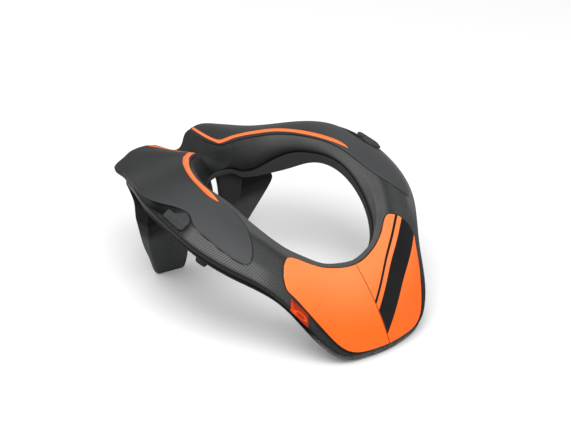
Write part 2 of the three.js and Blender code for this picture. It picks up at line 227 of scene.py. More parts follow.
STRIPE_OUTLINE = Table(
    "in_angle in_step out_angle out_step",
    (
        (92, 3.58, 92, 3.66),
        (98, 3.32, 98.5, 3.86),
        (110, 3.0, 111, 3.72),
        (126, 2.95, 126, 3.62),
        (141, 3.05, 139.5, 3.68),
        (153, 3.2, 150, 3.82),
        (162, 3.42, 159.5, 3.88),
        (168, 3.7, 165.8, 4.08),
        (171.4, 4.05, 168.9, 4.3),
        (171.5, 4.5, 169.9, 4.62),
        (171.2, 5.4, 169.9, 5.45),
        (170.5, 6.9, 169.3, 6.95),
    ),
)
PADDLE_ROWS = Table(
    "height middle_y inner_x outer_x inner_thick outer_thick twist",
    (
        (97, 134.5, 30, 72, 17, 35, 0),
        (90.5, 125.5, 29.5, 76.5, 14, 27, 0),
        (82.5, 119.5, 27, 80, 12, 22.5, 0),
        (73, 117, 23, 82, 10.5, 20.5, 0),
        (64, 116, 20, 81.5, 9, 17.5, 0),
        (40, 121, 19, 73, 8, 11, 2),
        (20, 124.5, 20.5, 63, 8, 7.5, 4),
        (6, 126.5, 22.5, 56.5, 8, 6.5, 5.5),
        (0, 127, 25, 53, 6, 6, 6),
    ),
)
TONGUE_ROWS = Table(
    "height middle_y inner_x outer_x inner_thick outer_thick twist",
    (
        (94, 104, 4.5, 30, 6, 11, 0),
        (88, 102, 4.5, 31, 6, 12, 0),
        (78, 101, 5.2, 30, 6, 12, 0),
        (68, 101, 8.4, 27, 6, 11, 0),
        (61, 101.5, 13, 22, 5, 7, 0),
    ),
)
HOOK_ROWS = Table(
    "along inner outer top under",
    (
        (-13.5, -2.6, 3.4, 3.2, 1.8),
        (-12, -3.2, 5.2, 4.4, 1.4),
        (-6.5, -3.4, 5.5, 4.8, 1.4),
        (-5.5, -4.2, 5.5, 4.8, 0.5),
        (1.5, -10.4, 5.5, 4.9, 0.5),
        (5, -10.6, 5.4, 4.9, 0.5),
        (10.5, -9, 5, 4.6, 0.5),
        (13.8, -4.5, 3.4, 3.4, 0.5),
    ),
)


def unit(v: Array) -> Array:
    """Directions of length one along the last axis."""
    return v / np.maximum(np.linalg.norm(v, axis=-1, keepdims=True), 1e-12)


def lerp(a: Array, b: Array, t: Array | float) -> Array:
    """The way from a to b by the share t."""
    return a + (b - a) * t


def smooth(t: Array) -> Array:
    """A soft step from 0 at or below 0 to 1 at or above 1."""
    t = np.clip(t, 0, 1)
    return t * t * (3 - 2 * t)


@dataclass(frozen=True)
class Ramp:
    """A soft step from 0 to 1.

    Attributes:
        low: Where it is 0.
        high: Where it is 1; it may be the lesser.
    """

    low: float
    high: float

    def at(self, x: Array) -> Array:
        """The step's height at places of any shape."""
        return smooth((x - self.low) / (self.high - self.low))


def dense_ends(count: int, ease: float) -> Array:
    """Numbers from 0 to 1, closer together at both ends: t less a share of its sine wave.

    Args:
        count: How many.
        ease: 0 for an even spacing, towards 1 for ends that crowd.

    Returns:
        The numbers.
    """
    t = np.linspace(0, 1, count)
    return t - ease * np.sin(2 * np.pi * t) / (2 * np.pi)


def closed_spline(control: Array, step: Array) -> Array:
    """Points of closed cubic B-splines.

    Each point is the weighted mean of the four control points around its step.

    Args:
        control: Control points, shaped (..., n, k).
        step: Place along the control points, shaped (...).

    Returns:
        Points shaped (..., k).
    """
    n = control.shape[-2]
    first = np.floor(step).astype(int)
    t = (step - first)[..., None]
    weights = (
        (1 - t) ** 3 / 6,
        (3 * t**3 - 6 * t**2 + 4) / 6,
        (-3 * t**3 + 3 * t**2 + 3 * t + 1) / 6,
        t**3 / 6,
    )
    picked = [
        np.take_along_axis(control, ((first + k - 1) % n)[..., None, None], -2)[..., 0, :]
        for k in range(4)
    ]
    return sum(w * p for w, p in zip(weights, picked, strict=True))


def rounded_polygon(corners: Array, radius: float, count: int) -> Array:
    """Polygons with flat sides and round corners.

    A closed B-spline whose control points are each corner and the two points a radius before and after it.

    Args:
        corners: Corner points, shaped (..., k, 2).
        radius: How far from the corner the side starts to bend.
        count: Points to make on each polygon.

    Returns:
        Points shaped (..., count, 2).
    """
    before = np.roll(corners, 1, axis=-2) - corners
    after = np.roll(corners, -1, axis=-2) - corners
    near = np.minimum(radius, 0.45 * np.linalg.norm(before, axis=-1, keepdims=True))
    far = np.minimum(radius, 0.45 * np.linalg.norm(after, axis=-1, keepdims=True))
    three = np.stack([corners + unit(before) * near, corners, corners + unit(after) * far], -2)
    control = three.reshape(*corners.shape[:-2], -1, 2)
    step = np.linspace(0, control.shape[-2], count, endpoint=False)
    lead = (1,) * (control.ndim - 2)
    wide = np.broadcast_to(control[..., None, :, :], (*control.shape[:-2], count, *control.shape[-2:]))
    return closed_spline(wide, np.broadcast_to(step.reshape(*lead, count), wide.shape[:-2]))


def distance_to(points: Array, line: Array) -> Array:
    """Shortest distance from points to a closed line.

    For each stretch of the line the nearest spot is found by projection, and the least distance is kept.

    Args:
        points: Points, shaped (n, 3).
        line: Points of the line in order, shaped (k, 3).

    Returns:
        Distances, shaped (n,).
    """
    run = np.roll(line, -1, axis=0) - line
    square = np.maximum((run**2).sum(-1), 1e-9)
    found = []
    for batch in np.array_split(points, 1 + len(points) // 4000):
        gap = batch[:, None, :] - line[None]
        t = np.clip((gap * run).sum(-1) / square, 0, 1)
        found.append(np.linalg.norm(gap - t[..., None] * run, axis=-1).min(1))
    return np.concatenate(found)


def run_length(points: Array) -> Array:
    """Length of the way along lines of points, shaped (..., n, 3), from the first of each."""
    gaps = np.linalg.norm(np.diff(points, axis=-2), axis=-1).cumsum(-1)
    return np.concatenate([np.zeros((*gaps.shape[:-1], 1)), gaps], -1)


def from_front(angle: Array) -> Array:
    """Degrees from the front for angles right round, alike on both sides."""
    return BACK_ANGLE - np.abs(angle - BACK_ANGLE)


def border(grid: Array) -> Array:
    """The points round the edge of a grid, in order."""
    return np.concatenate([grid[0, :-1], grid[:-1, -1], grid[-1, :0:-1], grid[:0:-1, 0]])


@dataclass
class Surface:
    """A closed surface made of grids.

    Attributes:
        points: Points in millimetres, one row each.
        faces: Arrays of point numbers, a row for each face.
        sheet: The faces' corners laid out flat in the unit square, alike.
        notes: Values at the points that a finish reads, by name.
    """

    points: Array
    faces: list[Array]
    sheet: list[Array]
    notes: dict[str, Array] = field(default_factory=dict)

    def turned(self) -> "Surface":
        """The same surface with its faces turned over."""
        faces = [f[:, ::-1] for f in self.faces]
        return Surface(self.points, faces, [s[:, ::-1] for s in self.sheet], self.notes)

    def outward(self) -> "Surface":
        """The same surface with its faces outward: the sum of its faces' tetrahedra is then positive.

        Returns:
            This surface, or its turned copy.
        """
        fans = [self.points[f] for f in self.faces]
        volume = sum((p[:, :1] * np.cross(p[:, 1:-1], p[:, 2:])).sum() for p in fans)
        return self if volume > 0 else self.turned()

    def on(self, side: Side) -> "Surface":
        """The surface of the left side as it is, or mirrored to the right."""
        mirror = np.array([side.value, 1, 1])
        return Surface(self.points * mirror, self.faces, self.sheet, self.notes).outward()


def tube(rings: Array, notes: dict[str, Array] | None = None) -> Surface:
    """A closed surface through rings, with flat ends.

    Args:
        rings: Points of the rings, shaped (n, m, 3).
        notes: Values at the points, each shaped (n, m, ...).

    Returns:
        The surface, faces outward.
    """
    n, m = rings.shape[:2]
    number = np.arange(n * m).reshape(n, m)
    after = np.roll(number, -1, axis=1)
    quads = np.stack([number[:-1], after[:-1], after[1:], number[1:]], -1).reshape(-1, 4)
    i, j = np.meshgrid(np.arange(n - 1), np.arange(m), indexing="ij")
    rows = np.stack([i, i, i + 1, i + 1], -1).reshape(-1, 4)
    columns = np.stack([j, j + 1, j + 1, j], -1).reshape(-1, 4)
    walls = np.stack([WALL_SHARE * rows / (n - 1), columns / m], -1)
    turn = np.linspace(0, 2 * np.pi, m, endpoint=False)
    disc = END_RADIUS * np.stack([np.cos(turn), np.sin(turn)], -1)
    first, last = (disc + place for place in END_PLACES)
    flat = {k: v.reshape(n * m, *v.shape[2:]) for k, v in (notes or {}).items()}
    caps = [number[:1, ::-1], number[-1:]]
    sheet = [walls, first[None, ::-1], last[None]]
    return Surface(rings.reshape(-1, 3), [quads, *caps], sheet, flat).outward()


def slab(top: Array, under: Array, notes: dict[str, Array]) -> Surface:
    """A closed plate between two grids that share their outline.

    Args:
        top: Points of the upper face, shaped (n, m, 3).
        under: Points of the lower face, alike.
        notes: Values at the upper points, each shaped (n, m, ...); the lower ones take the same.

    Returns:
        The surface, faces outward.
    """
    n, m = top.shape[:2]
    number = np.arange(n * m).reshape(n, m)
    quads = np.stack([number[:-1, :-1], number[:-1, 1:], number[1:, 1:], number[1:, :-1]], -1)
    quads = quads.reshape(-1, 4)
    v, u = np.meshgrid(np.linspace(0, TOP_SHARE, n), np.linspace(0, 1, m), indexing="ij")
    place = np.stack([u, v], -1).reshape(-1, 2)[quads]
    below = place * (1, UNDER_SHARE) + (0, UNDER_START)
    loop = border(number)
    after = np.roll(loop, -1)
    rim = np.stack([after, loop, loop + n * m, after + n * m], -1)
    along = np.arange(len(loop)) / len(loop)
    ahead = along + 1 / len(loop)
    low, high = (np.full_like(along, level) for level in RIM_STRIP)
    strip = np.stack([ahead, low, along, low, along, high, ahead, high], -1).reshape(-1, 4, 2)
    points = np.concatenate([top.reshape(-1, 3), under.reshape(-1, 3)])
    both = {k: np.concatenate([x.reshape(n * m, *x.shape[2:])] * 2) for k, x in notes.items()}
    faces = [quads, quads[:, ::-1] + n * m, rim]
    return Surface(points, faces, [place, below[:, ::-1], strip], both).outward()


class Value:
    """An output of a material's nodes; arithmetic on it adds Math nodes."""

    def __init__(self, bench: "Bench", socket: bpy.types.NodeSocket) -> None:
        """Wraps a socket of the bench's node tree."""
        self.bench = bench
        self.socket = socket

    def maths(self, operation: str, *terms: Any) -> "Value":
        """A Math node on terms in order.

        Args:
            operation: The node's operation.
            terms: Numbers or values for its inputs.

        Returns:
            The node's result.
        """
        made = self.bench.node("ShaderNodeMath", {"operation": operation}, dict(enumerate(terms)))
        return Value(self.bench, made.outputs[0])

    def __add__(self, other: Any) -> "Value":
        """Sum."""
        return self.maths("ADD", self, other)

    __radd__ = __add__

    def __sub__(self, other: Any) -> "Value":
        """Difference."""
        return self.maths("SUBTRACT", self, other)

    def __rsub__(self, other: Any) -> "Value":
        """Difference from a number."""
        return self.maths("SUBTRACT", other, self)

    def __mul__(self, other: Any) -> "Value":
        """Product."""
        return self.maths("MULTIPLY", self, other)

    __rmul__ = __mul__

    def __truediv__(self, other: Any) -> "Value":
        """Quotient."""
        return self.maths("DIVIDE", self, other)

    def __rtruediv__(self, other: Any) -> "Value":
        """Quotient of a number."""
        return self.maths("DIVIDE", other, self)

    def wave(self) -> "Value":
        """A wave from 0 to 1 with one crest in each whole turn of the value."""
        return self.maths("SINE", self * (2 * math.pi)) * 0.5 + 0.5

    def most(self, other: Any) -> "Value":
        """The greater of two."""
        return self.maths("MAXIMUM", self, other)

    def rise(self, low: float, high: float) -> "Value":
        """A soft step from 0 at low to 1 at high; low may be the greater.

        Args:
            low: Where it is 0.
            high: Where it is 1.

        Returns:
            The step's height.
        """
        made = self.bench.node(
            "ShaderNodeMapRange",
            {"interpolation_type": "SMOOTHSTEP"},
            {"Value": self, "From Min": low, "From Max": high},
        )
        return Value(self.bench, made.outputs["Result"])


class Bench:
    """Where one material's nodes are put together."""

    def __init__(self, name: str) -> None:
        """Starts a material with no nodes.

        Args:
            name: The material's name.
        """
        self.material = bpy.data.materials.new(name)
        self.material.use_nodes = True
        self.tree = self.material.node_tree
        self.tree.nodes.clear()

    def node(
        self, kind: str, settings: dict[str, Any] | None = None, sockets: dict[Any, Any] | None = None
    ) -> bpy.types.Node:
        """Adds a node.

        Args:
            kind: The node's type.
            settings: Its properties, set first.
            sockets: Values or links of its inputs, by name or number.

        Returns:
            The node.
        """
        made = self.tree.nodes.new(kind)
        for key, setting in (settings or {}).items():
            setattr(made, key, setting)
        for key, given in (sockets or {}).items():
            if isinstance(given, Value):
                self.tree.links.new(given.socket, made.inputs[key])
            else:
                made.inputs[key].default_value = given
        return made

    def place(self) -> Value:
        """The point on the object, in metres."""
        return Value(self, self.node("ShaderNodeTexCoord").outputs["Object"])

    def way(self, direction: tuple[float, float, float]) -> Value:
        """How far the point on the object lies along a direction, in millimetres.

        Args:
            direction: The direction, of length one.

        Returns:
            The distance.
        """
        terms = {0: self.place(), 1: direction}
        made = self.node("ShaderNodeVectorMath", {"operation": "DOT_PRODUCT"}, terms)
        return Value(self, made.outputs["Value"]) / MM

    def note(self, name: str) -> Value:
        """A number noted at the points of the mesh."""
        made = self.node("ShaderNodeAttribute", {"attribute_name": name})
        return Value(self, made.outputs["Fac"])

    def three(self, name: str) -> tuple[Value, Value, Value]:
        """Three numbers noted at the points of the mesh.

        Args:
            name: The note's name.

        Returns:
            The numbers.
        """
        made = self.node("ShaderNodeAttribute", {"attribute_name": name})
        parts = self.node("ShaderNodeSeparateXYZ", sockets={0: Value(self, made.outputs["Vector"])})
        first, second, third = (Value(self, x) for x in parts.outputs)
        return first, second, third

    def noise(self, size: float, detail: float = 2.0) -> Value:
        """Cloudy noise from 0 to 1.

        Args:
            size: Size of its spots in millimetres.
            detail: How many finer layers it has.

        Returns:
            The noise.
        """
        made = self.node(
            "ShaderNodeTexNoise",
            sockets={"Vector": self.place(), "Scale": 1 / (size * MM), "Detail": detail},
        )
        return Value(self, made.outputs["Fac"])

    def cells(self, size: float) -> Value:
        """Distance to the middle of the nearest of many small cells of a size in millimetres.

        Args:
            size: Size of the cells.

        Returns:
            The distance, as a share of the size.
        """
        made = self.node(
            "ShaderNodeTexVoronoi", sockets={"Vector": self.place(), "Scale": 1 / (size * MM)}
        )
        return Value(self, made.outputs["Distance"])

    def blend(self, share: Value | float, a: Value | Colour, b: Value | Colour) -> Value:
        """A colour from a to b by a share."""
        made = self.node("ShaderNodeMix", {"data_type": "RGBA"}, {0: share, 6: a, 7: b})
        return Value(self, made.outputs[2])

    def bump(self, height: Value, depth: float) -> Value:
        """A normal bent by a height from 0 to 1 that stands for a depth in millimetres."""
        made = self.node("ShaderNodeBump", sockets={"Height": height, "Distance": depth * MM})
        return Value(self, made.outputs["Normal"])

    def close(self, **sockets: Any) -> bpy.types.Material:
        """Ends in a Principled surface.

        Args:
            sockets: Its inputs by name, with _ for a space.

        Returns:
            The finished material.
        """
        named = {key.replace("_", " "): given for key, given in sockets.items()}
        shader = self.node("ShaderNodeBsdfPrincipled", sockets=named)
        self.node("ShaderNodeOutputMaterial", sockets={"Surface": Value(self, shader.outputs[0])})
        return self.material


class Finish(ABC):
    """The finish of a surface."""

    @abstractmethod
    def material(self, name: str) -> bpy.types.Material:
        """A material of this finish with that name."""


@dataclass(frozen=True)
class RibbedMoulding(Finish):
    """Dark moulding with fine ribs across the arm, a thin black line where a panel is let in, and painted
    shade.

    Attributes:
        dark: Colour between the ribs.
        speck: Colour of the specks where it is plain.
        light: Colour of the rib tops.
        rim: Colour of the painted shade on the rim, below the chest and at the wall's foot.
        joint_and_hollow_shade: Colour of the dark joint line round a panel, and of the painted shade in the
            hook's hollow.
        pitch: From rib to rib, in millimetres.
        slant: Sine of the angle at which the ribs lean back across the arm.
        depth: Height of the ribs.
        line: Width of the line round a panel.
        wander: Size of the noise that bends the ribs.
        clouds: Size of its clouds.
        specks: Size of its specks.
        grain: Size of its grain.
        roughness: Of the rib tops.
        gloss: Its specular level.
    """

    dark: Colour = (0.011, 0.012, 0.012, 1)
    speck: Colour = (0.034, 0.036, 0.035, 1)
    light: Colour = (0.14, 0.144, 0.14, 1)
    rim: Colour = (0.0085, 0.009, 0.009, 1)
    joint_and_hollow_shade: Colour = (0.0025, 0.0025, 0.0025, 1)
    pitch: float = 1.75
    slant: float = 0.5
    depth: float = 0.22
    line: float = 1.1
    wander: float = 6.0
    clouds: float = 22.0
    specks: float = 1.0
    grain: float = 0.35
    roughness: float = 0.42
    gloss: float = 0.1

    def material(self, name: str) -> bpy.types.Material:
        """Ribs are a wave of the way square to them, broken by a weave of twice their pitch.

        The marks on the mesh tell how deep a point lies in the hook's hollow, which is painted dark as
        shade, how far it is ribbed, and how far it is painted dark with shade on the rim, below the chest
        and at the wall's foot.

        Args:
            name: The material's name.

        Returns:
            The material.
        """
        b = Bench(name)
        along, across, edge = b.three(TRACE)
        deep, ribbed, rim = b.three(MARKS)
        square = math.sqrt(1 - self.slant**2) * along - self.slant * across
        rib = (square / self.pitch + 0.3 * b.noise(self.wander)).wave()
        weave = (along / (2 * self.pitch) + across / (1.6 * self.pitch)).wave()
        cloud = b.noise(self.clouds, 3.0)
        speck = b.cells(self.specks).rise(0.2, 0.7) * b.noise(2 * self.specks)
        open_ = edge.rise(0.45 * self.line, self.line)
        relief = rib * (0.7 + 0.3 * weave) * ribbed * (1 - deep)
        tint = b.blend(speck, self.dark, self.speck)
        shown = (0.4 + 0.6 * rib) * (0.75 + 0.25 * weave) * ribbed
        tint = b.blend(shown * (0.6 + 0.5 * cloud), tint, self.light)
        # painted shade: the rim along the outer edge, the shadow in the gap below the chest and the wall's
        # dark foot
        tint = b.blend(rim, tint, self.rim)
        # the dark joint line round a panel, and painted shade in the hook's hollow
        tint = b.blend((1 - open_).most(deep), tint, self.joint_and_hollow_shade)
        grain = b.noise(self.grain)
        return b.close(
            Base_Color=tint,
            Roughness=self.roughness + 0.2 * (1 - relief) * grain,
            Specular_IOR_Level=self.gloss,
            Normal=b.bump(relief * open_ + 0.12 * grain, self.depth),
        )


@dataclass(frozen=True)
class SatinPanel(Finish):
    """Smooth satin plastic, paler towards the front of the panel as painted light and darker over the wing
    as painted shade.

    Attributes:
        front: Colour at the front tip, paled there as painted light.
        back: Colour over the wing, darkened there as painted shade.
        painted_light_fade: Where the painted light gives way to the painted shade, in millimetres from the
            tip.
        wear: A paler colour mixed in, in patches near the edge and faintly in clouds.
        clouds: Size of its clouds.
        grain: Size of its grain.
        depth: Depth of the grain.
        roughness: Of the face.
        gloss: Its specular level.
    """

    front: Colour = (0.043, 0.044, 0.0465, 1)
    back: Colour = (0.016, 0.017, 0.017, 1)
    painted_light_fade: tuple[float, float] = (70.0, 155.0)
    wear: Colour = (0.1, 0.102, 0.106, 1)
    clouds: float = 30.0
    grain: float = 0.5
    depth: float = 0.03
    roughness: float = 0.52
    gloss: float = 0.2

    def material(self, name: str) -> bpy.types.Material:
        """The colours change along the trace as painted light and shade, with clouds, paler patches near the
        edge and a fine moulded grain.

        Args:
            name: The material's name.

        Returns:
            The material.
        """
        b = Bench(name)
        along, _, edge = b.three(TRACE)
        cloud = b.noise(self.clouds, 4.0)
        grain = b.noise(self.grain, 3.0)
        # paler, smoother patches near the edge
        paled = edge.rise(1.5, 0.7) * b.noise(4.0)
        # painted light towards the front tip, painted shade over the wing
        tint = b.blend(along.rise(*self.painted_light_fade), self.front, self.back)
        tint = b.blend(0.12 * cloud * grain + 0.12 * paled, tint, self.wear)
        return b.close(
            Base_Color=tint,
            Roughness=self.roughness + 0.16 * (grain - 0.5) - 0.06 * paled,
            Specular_IOR_Level=self.gloss,
            Normal=b.bump(grain, self.depth),
        )


@dataclass(frozen=True)
class OrangeFace(Finish):
    """Satin orange plastic with painted light at its upper edge and painted shade at its lower, and dark
    bands where there are any.

    Attributes:
        pale: Colour at the upper edge, paled as painted light.
        deep: Colour at the lower edge, deepened as painted shade.
        painted_light_fade: Where the painted light gives way to the painted shade across the piece, in
            millimetres.
        rim: Colour of the line along the edge.
        band: Colour of the bands.
        bands: The near and far side of each band, in millimetres along the lean.
        lean: The direction that the bands lie square to.
        soft: Half the width of a band's soft edge.
        clouds: Size of its clouds.
        grain: Size of its grain.
        depth: Depth of the grain.
        roughness: Of the face.
        gloss: Its specular level.
    """

    pale: Colour = (0.93, 0.225, 0.066, 1)
    deep: Colour = (0.90, 0.12, 0.009, 1)
    painted_light_fade: tuple[float, float] = (0.0, 70.0)
    rim: Colour = (0.42, 0.07, 0.012, 1)
    band: Colour = (0.005, 0.005, 0.0055, 1)
    bands: tuple[tuple[float, float], ...] = ()
    lean: tuple[float, float, float] = (0.659, -0.291, -0.693)
    soft: float = 0.15
    clouds: float = 26.0
    grain: float = 0.4
    depth: float = 0.02
    roughness: float = 0.4
    gloss: float = 0.2

    def material(self, name: str) -> bpy.types.Material:
        """A band covers the points whose way along the lean lies between its sides.

        Args:
            name: The material's name.

        Returns:
            The material.
        """
        b = Bench(name)
        _, across, edge = b.three(TRACE)
        grain = b.noise(self.grain)
        cloud = b.noise(self.clouds, 3.0)
        # painted light paling the upper edge, painted shade deepening the lower edge
        tint = b.blend(across.rise(*self.painted_light_fade), self.pale, self.deep)
        tint = b.blend(0.16 * cloud, tint, self.deep)
        way = b.way(self.lean)
        for near, far in self.bands:
            begun = way.rise(near - self.soft, near + self.soft)
            inside = begun * way.rise(far + self.soft, far - self.soft)
            tint = b.blend(inside, tint, self.band)
        tint = b.blend(edge.rise(0.4, 0.1), tint, self.rim)
        return b.close(
            Base_Color=tint,
            Roughness=self.roughness + 0.12 * (grain - 0.5) + 0.1 * (cloud - 0.5),
            Specular_IOR_Level=self.gloss,
            Normal=b.bump(grain, self.depth),
        )


@dataclass(frozen=True)
class TabPlastic(Finish):
    """Red-orange moulded plastic, with painted shade in the low places of its relief and a painted highlight
    along its ridge.

    Attributes:
        face: Colour of the face.
        low: Colour of the painted shade in the low places.
        ridge_highlight: Colour of the painted highlight along the ridge.
        grain: Size of its grain.
        depth: Depth of the grain.
        roughness: Of the face.
        gloss: Its specular level.
    """

    face: Colour = (0.52, 0.042, 0.002, 1)
    low: Colour = (0.24, 0.012, 0.001, 1)
    ridge_highlight: Colour = (0.66, 0.085, 0.004, 1)
    grain: float = 0.4
    depth: float = 0.02
    roughness: float = 0.42
    gloss: float = 0.12

    def material(self, name: str) -> bpy.types.Material:
        """The relief noted at the points is 0 where it is low and 1 where it is high; low places take
        painted shade, the ridge a painted highlight.

        Args:
            name: The material's name.

        Returns:
            The material.
        """
        b = Bench(name)
        high = b.note(RELIEF)
        grain = b.noise(self.grain)
        # painted shade in the low places of the relief
        tint = b.blend(high.rise(0.1, 0.6), self.low, self.face)
        # painted highlight along the ridge
        tint = b.blend(high.rise(0.7, 1.0) * (0.6 + 0.4 * grain), tint, self.ridge_highlight)
        return b.close(
            Base_Color=tint,
            Roughness=self.roughness + 0.15 * (grain - 0.5),
            Specular_IOR_Level=self.gloss,
            Normal=b.bump(grain, self.depth),
        )


@dataclass(frozen=True)
class ClosedFoam(Finish):
    """Dark closed-cell foam with a skin of tiny pits.

    Attributes:
        skin: Colour of the skin.
        pit: Colour in the pits.
        lip: Colour of the pale specks on the front lip, partly the foam's own speckle and partly painted
            light.
        rim: Colour of the painted shade on the outer rim.
        size: Size of the pits in millimetres.
        depth: Depth of the pits.
        patches: Size of the patches where they are strong.
        specks: Size of the lip's specks.
        roughness: Of the skin.
        gloss: Its specular level.
    """

    skin: Colour = (0.033, 0.034, 0.034, 1)
    pit: Colour = (0.012, 0.012, 0.013, 1)
    lip: Colour = (0.12, 0.121, 0.118, 1)
    rim: Colour = (0.006, 0.006, 0.0065, 1)
    size: float = 0.9
    depth: float = 0.08
    patches: float = 14.0
    specks: float = 1.3
    roughness: float = 0.68
    gloss: float = 0.12

    def material(self, name: str) -> bpy.types.Material:
        """Pits are small cells, stronger in some patches than in others.

        The marks on the mesh tell how far a point is on the front lip, speckled and paled as painted light,
        and how far on the outer rim, darkened as painted shade.

        Args:
            name: The material's name.

        Returns:
            The material.
        """
        b = Bench(name)
        _, lip, rim = b.three(MARKS)
        cell = b.cells(self.size).rise(0.1, 0.6)
        patch = b.noise(self.patches, 3.0)
        skin = cell * (0.5 + 0.5 * patch)
        tint = b.blend(skin, self.pit, self.skin)
        # the front lip's pale specks, partly the foam's own speckle and partly painted light
        paled = lip * (0.25 + 0.75 * b.noise(self.specks).rise(0.4, 0.62))
        tint = b.blend(paled, tint, self.lip)
        return b.close(
            # painted shade on the outer rim
            Base_Color=b.blend(rim, tint, self.rim),
            Roughness=self.roughness + 0.2 * (1 - skin) * patch,
            Specular_IOR_Level=self.gloss,
            Normal=b.bump(skin, self.depth),
        )


@dataclass(frozen=True)
class GrainedMoulding(Finish):
    """Dark moulded plastic with a fine leathery grain, and painted shade towards the top where heights are
    given.

    Attributes:
        base: Colour of the face.
        pale: Colour of the grain's tops.
        shade: Colour of the painted shade high up, under the collar.
        dim: Heights between which the painted shade grows, in millimetres.
        size: Size of the grain in millimetres.
        depth: Depth of the grain.
        clouds: Size of its clouds.
        roughness: Of the face.
        gloss: Its specular level.
    """

    base: Colour = (0.016, 0.017, 0.017, 1)
    pale: Colour = (0.038, 0.040, 0.040, 1)
    shade: Colour = (0.004, 0.004, 0.0042, 1)
    dim: tuple[float, float] | None = None
    size: float = 1.1
    depth: float = 0.06
    clouds: float = 35.0
    roughness: float = 0.5
    gloss: float = 0.1

    def material(self, name: str) -> bpy.types.Material:
        """The grain is the distance within small cells, over broad clouds.

        Args:
            name: The material's name.

        Returns:
            The material.
        """
        b = Bench(name)
        grain = b.cells(self.size) * b.noise(3.0, 3.0)
        cloud = b.noise(self.clouds, 3.0)
        tint = b.blend((grain + 0.6 * cloud).rise(0.2, 0.9), self.base, self.pale)
        # painted shade towards the top, under the collar
        if self.dim is not None:
            tint = b.blend(b.way((0, 0, 1)).rise(*self.dim), tint, self.shade)
        return b.close(
            Base_Color=tint,
            Roughness=self.roughness + 0.25 * grain,
            Specular_IOR_Level=self.gloss,
            Normal=b.bump(grain, self.depth),
        )


def put(
    name: str, surface: Surface, finish: Finish, body: Body = Body.BRACE
) -> None:
    """Puts one piece into the scene in place of the solid of the same name.

    Args:
        name: The solid's name; the piece's has _look after it.
        surface: Its surface in millimetres.
        finish: Its finish.
        body: The body that it moves with.
    """
    mesh = bpy.data.meshes.new(name)
    loops = np.concatenate([f.ravel() for f in surface.faces]).astype(np.int32)
    sizes = np.concatenate([np.full(len(f), f.shape[1]) for f in surface.faces])
    mesh.vertices.add(len(surface.points))
    mesh.vertices.foreach_set("co", (surface.points * MM).astype(np.float32).ravel())
    mesh.loops.add(len(loops))
    mesh.loops.foreach_set("vertex_index", loops)
    mesh.polygons.add(len(sizes))
    mesh.polygons.foreach_set("loop_start", (np.cumsum(sizes) - sizes).astype(np.int32))
    mesh.polygons.foreach_set("use_smooth", sizes == 4)
    mesh.update(calc_edges=True)
    sheet = np.concatenate([s.reshape(-1, 2) for s in surface.sheet])
    mesh.uv_layers.new(name=SHEET_MAP).uv.foreach_set("vector", sheet.astype(np.float32).ravel())
    for key, noted in surface.notes.items():
        kind, part = ("FLOAT_VECTOR", "vector") if noted.ndim == 2 else ("FLOAT", "value")
        noted = noted.astype(np.float32).ravel()
        mesh.attributes.new(key, kind, "POINT").data.foreach_set(part, noted)
    mesh.validate()
    piece = bpy.data.objects.new(f"{name}_look", mesh)
    bpy.context.scene.collection.objects.link(piece)
    mesh.materials.append(finish.material(name))
    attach(piece, body.value)
    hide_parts(name)
    LOG.info("%s: %d points, %d faces, on %s", piece.name, len(surface.points), len(sizes), body.value)


def round_neck(angle: Array, section: Array) -> Array:
    """Section points in radius and height carried round the neck axis to their angle.

    Args:
        angle: Angles in degrees.
        section: Radii and heights, shaped (..., 2).

    Returns:
        Points shaped (..., 3).
    """
    a = np.radians(angle)
    r, z = section[..., 0], section[..., 1]
    return np.stack([r * np.sin(a), NECK_AXIS_Y - r * np.cos(a), z], -1)


class Loft(ABC):
    """A closed section that changes as it goes round the neck, alike on both sides."""

    @abstractmethod
    def control(self, angle: Array) -> Array:
        """The section's control points in radius and height at angles up to the back."""

    def point(self, angle: Array, step: Array) -> Array:
        """Points at angles from 0 to 360 degrees and steps along the control points."""
        angle, step = np.broadcast_arrays(np.asarray(angle, float), np.asarray(step, float))
        return round_neck(angle, closed_spline(self.control(from_front(angle)), step))

    def directions(self, angle: Array, step: Array) -> tuple[Array, Array, Array]:
        """Directions on the surface, from small differences.

        Args:
            angle: Angles in degrees.
            step: Steps along the section.

        Returns:
            Along the ring for each degree, across the section for each step, and outward.
        """
        turn, shift = 0.2, 0.01
        back = (self.point(angle + turn, step) - self.point(angle - turn, step)) / (2 * turn)
        across = (self.point(angle, step + shift) - self.point(angle, step - shift)) / (2 * shift)
        return back, across, unit(np.cross(across, back))

    def lifted(self, angle: Array, step: Array, lift: Array | float) -> Array:
        """Points lifted off the surface by millimetres."""
        out = self.directions(angle, step)[2]
        return self.point(angle, step) + out * np.asarray(lift, float)[..., None]

    def ring(self, angles: int, steps: int, split: float, corner: float) -> tuple[Array, Array, Array]:
        """A grid right round the neck, from one side of the front split to the other.

        The end faces have round edges: over the last stretch the section draws in by a quarter circle.

        Args:
            angles: Rings to make.
            steps: Points on each.
            split: Half of the split, in degrees.
            corner: Radius of the round edges.

        Returns:
            Angles and steps of the points, and how far each is drawn in.
        """
        first_step, edge_rings = -2, 6
        reach = math.degrees(corner / MEAN_RADIUS)
        quarter = reach * (1 - np.cos(np.linspace(0, np.pi / 2, edge_rings)))
        middle = np.linspace(split + reach, FULL_TURN - split - reach, angles)
        angle = np.concatenate([split + quarter[:-1], middle, FULL_TURN - split - quarter[-2::-1]])
        near = np.minimum(angle, FULL_TURN - angle) - split
        drawn = corner - np.sqrt(np.maximum(0, corner**2 - (corner * np.clip(1 - near / reach, 0, 1)) ** 2))
        around = self.control(np.zeros(1)).shape[-2]
        step = first_step + np.linspace(0, around, steps, endpoint=False)
        grid = np.meshgrid(angle, step, indexing="ij")
        return grid[0], grid[1], np.broadcast_to(drawn[:, None], grid[0].shape)


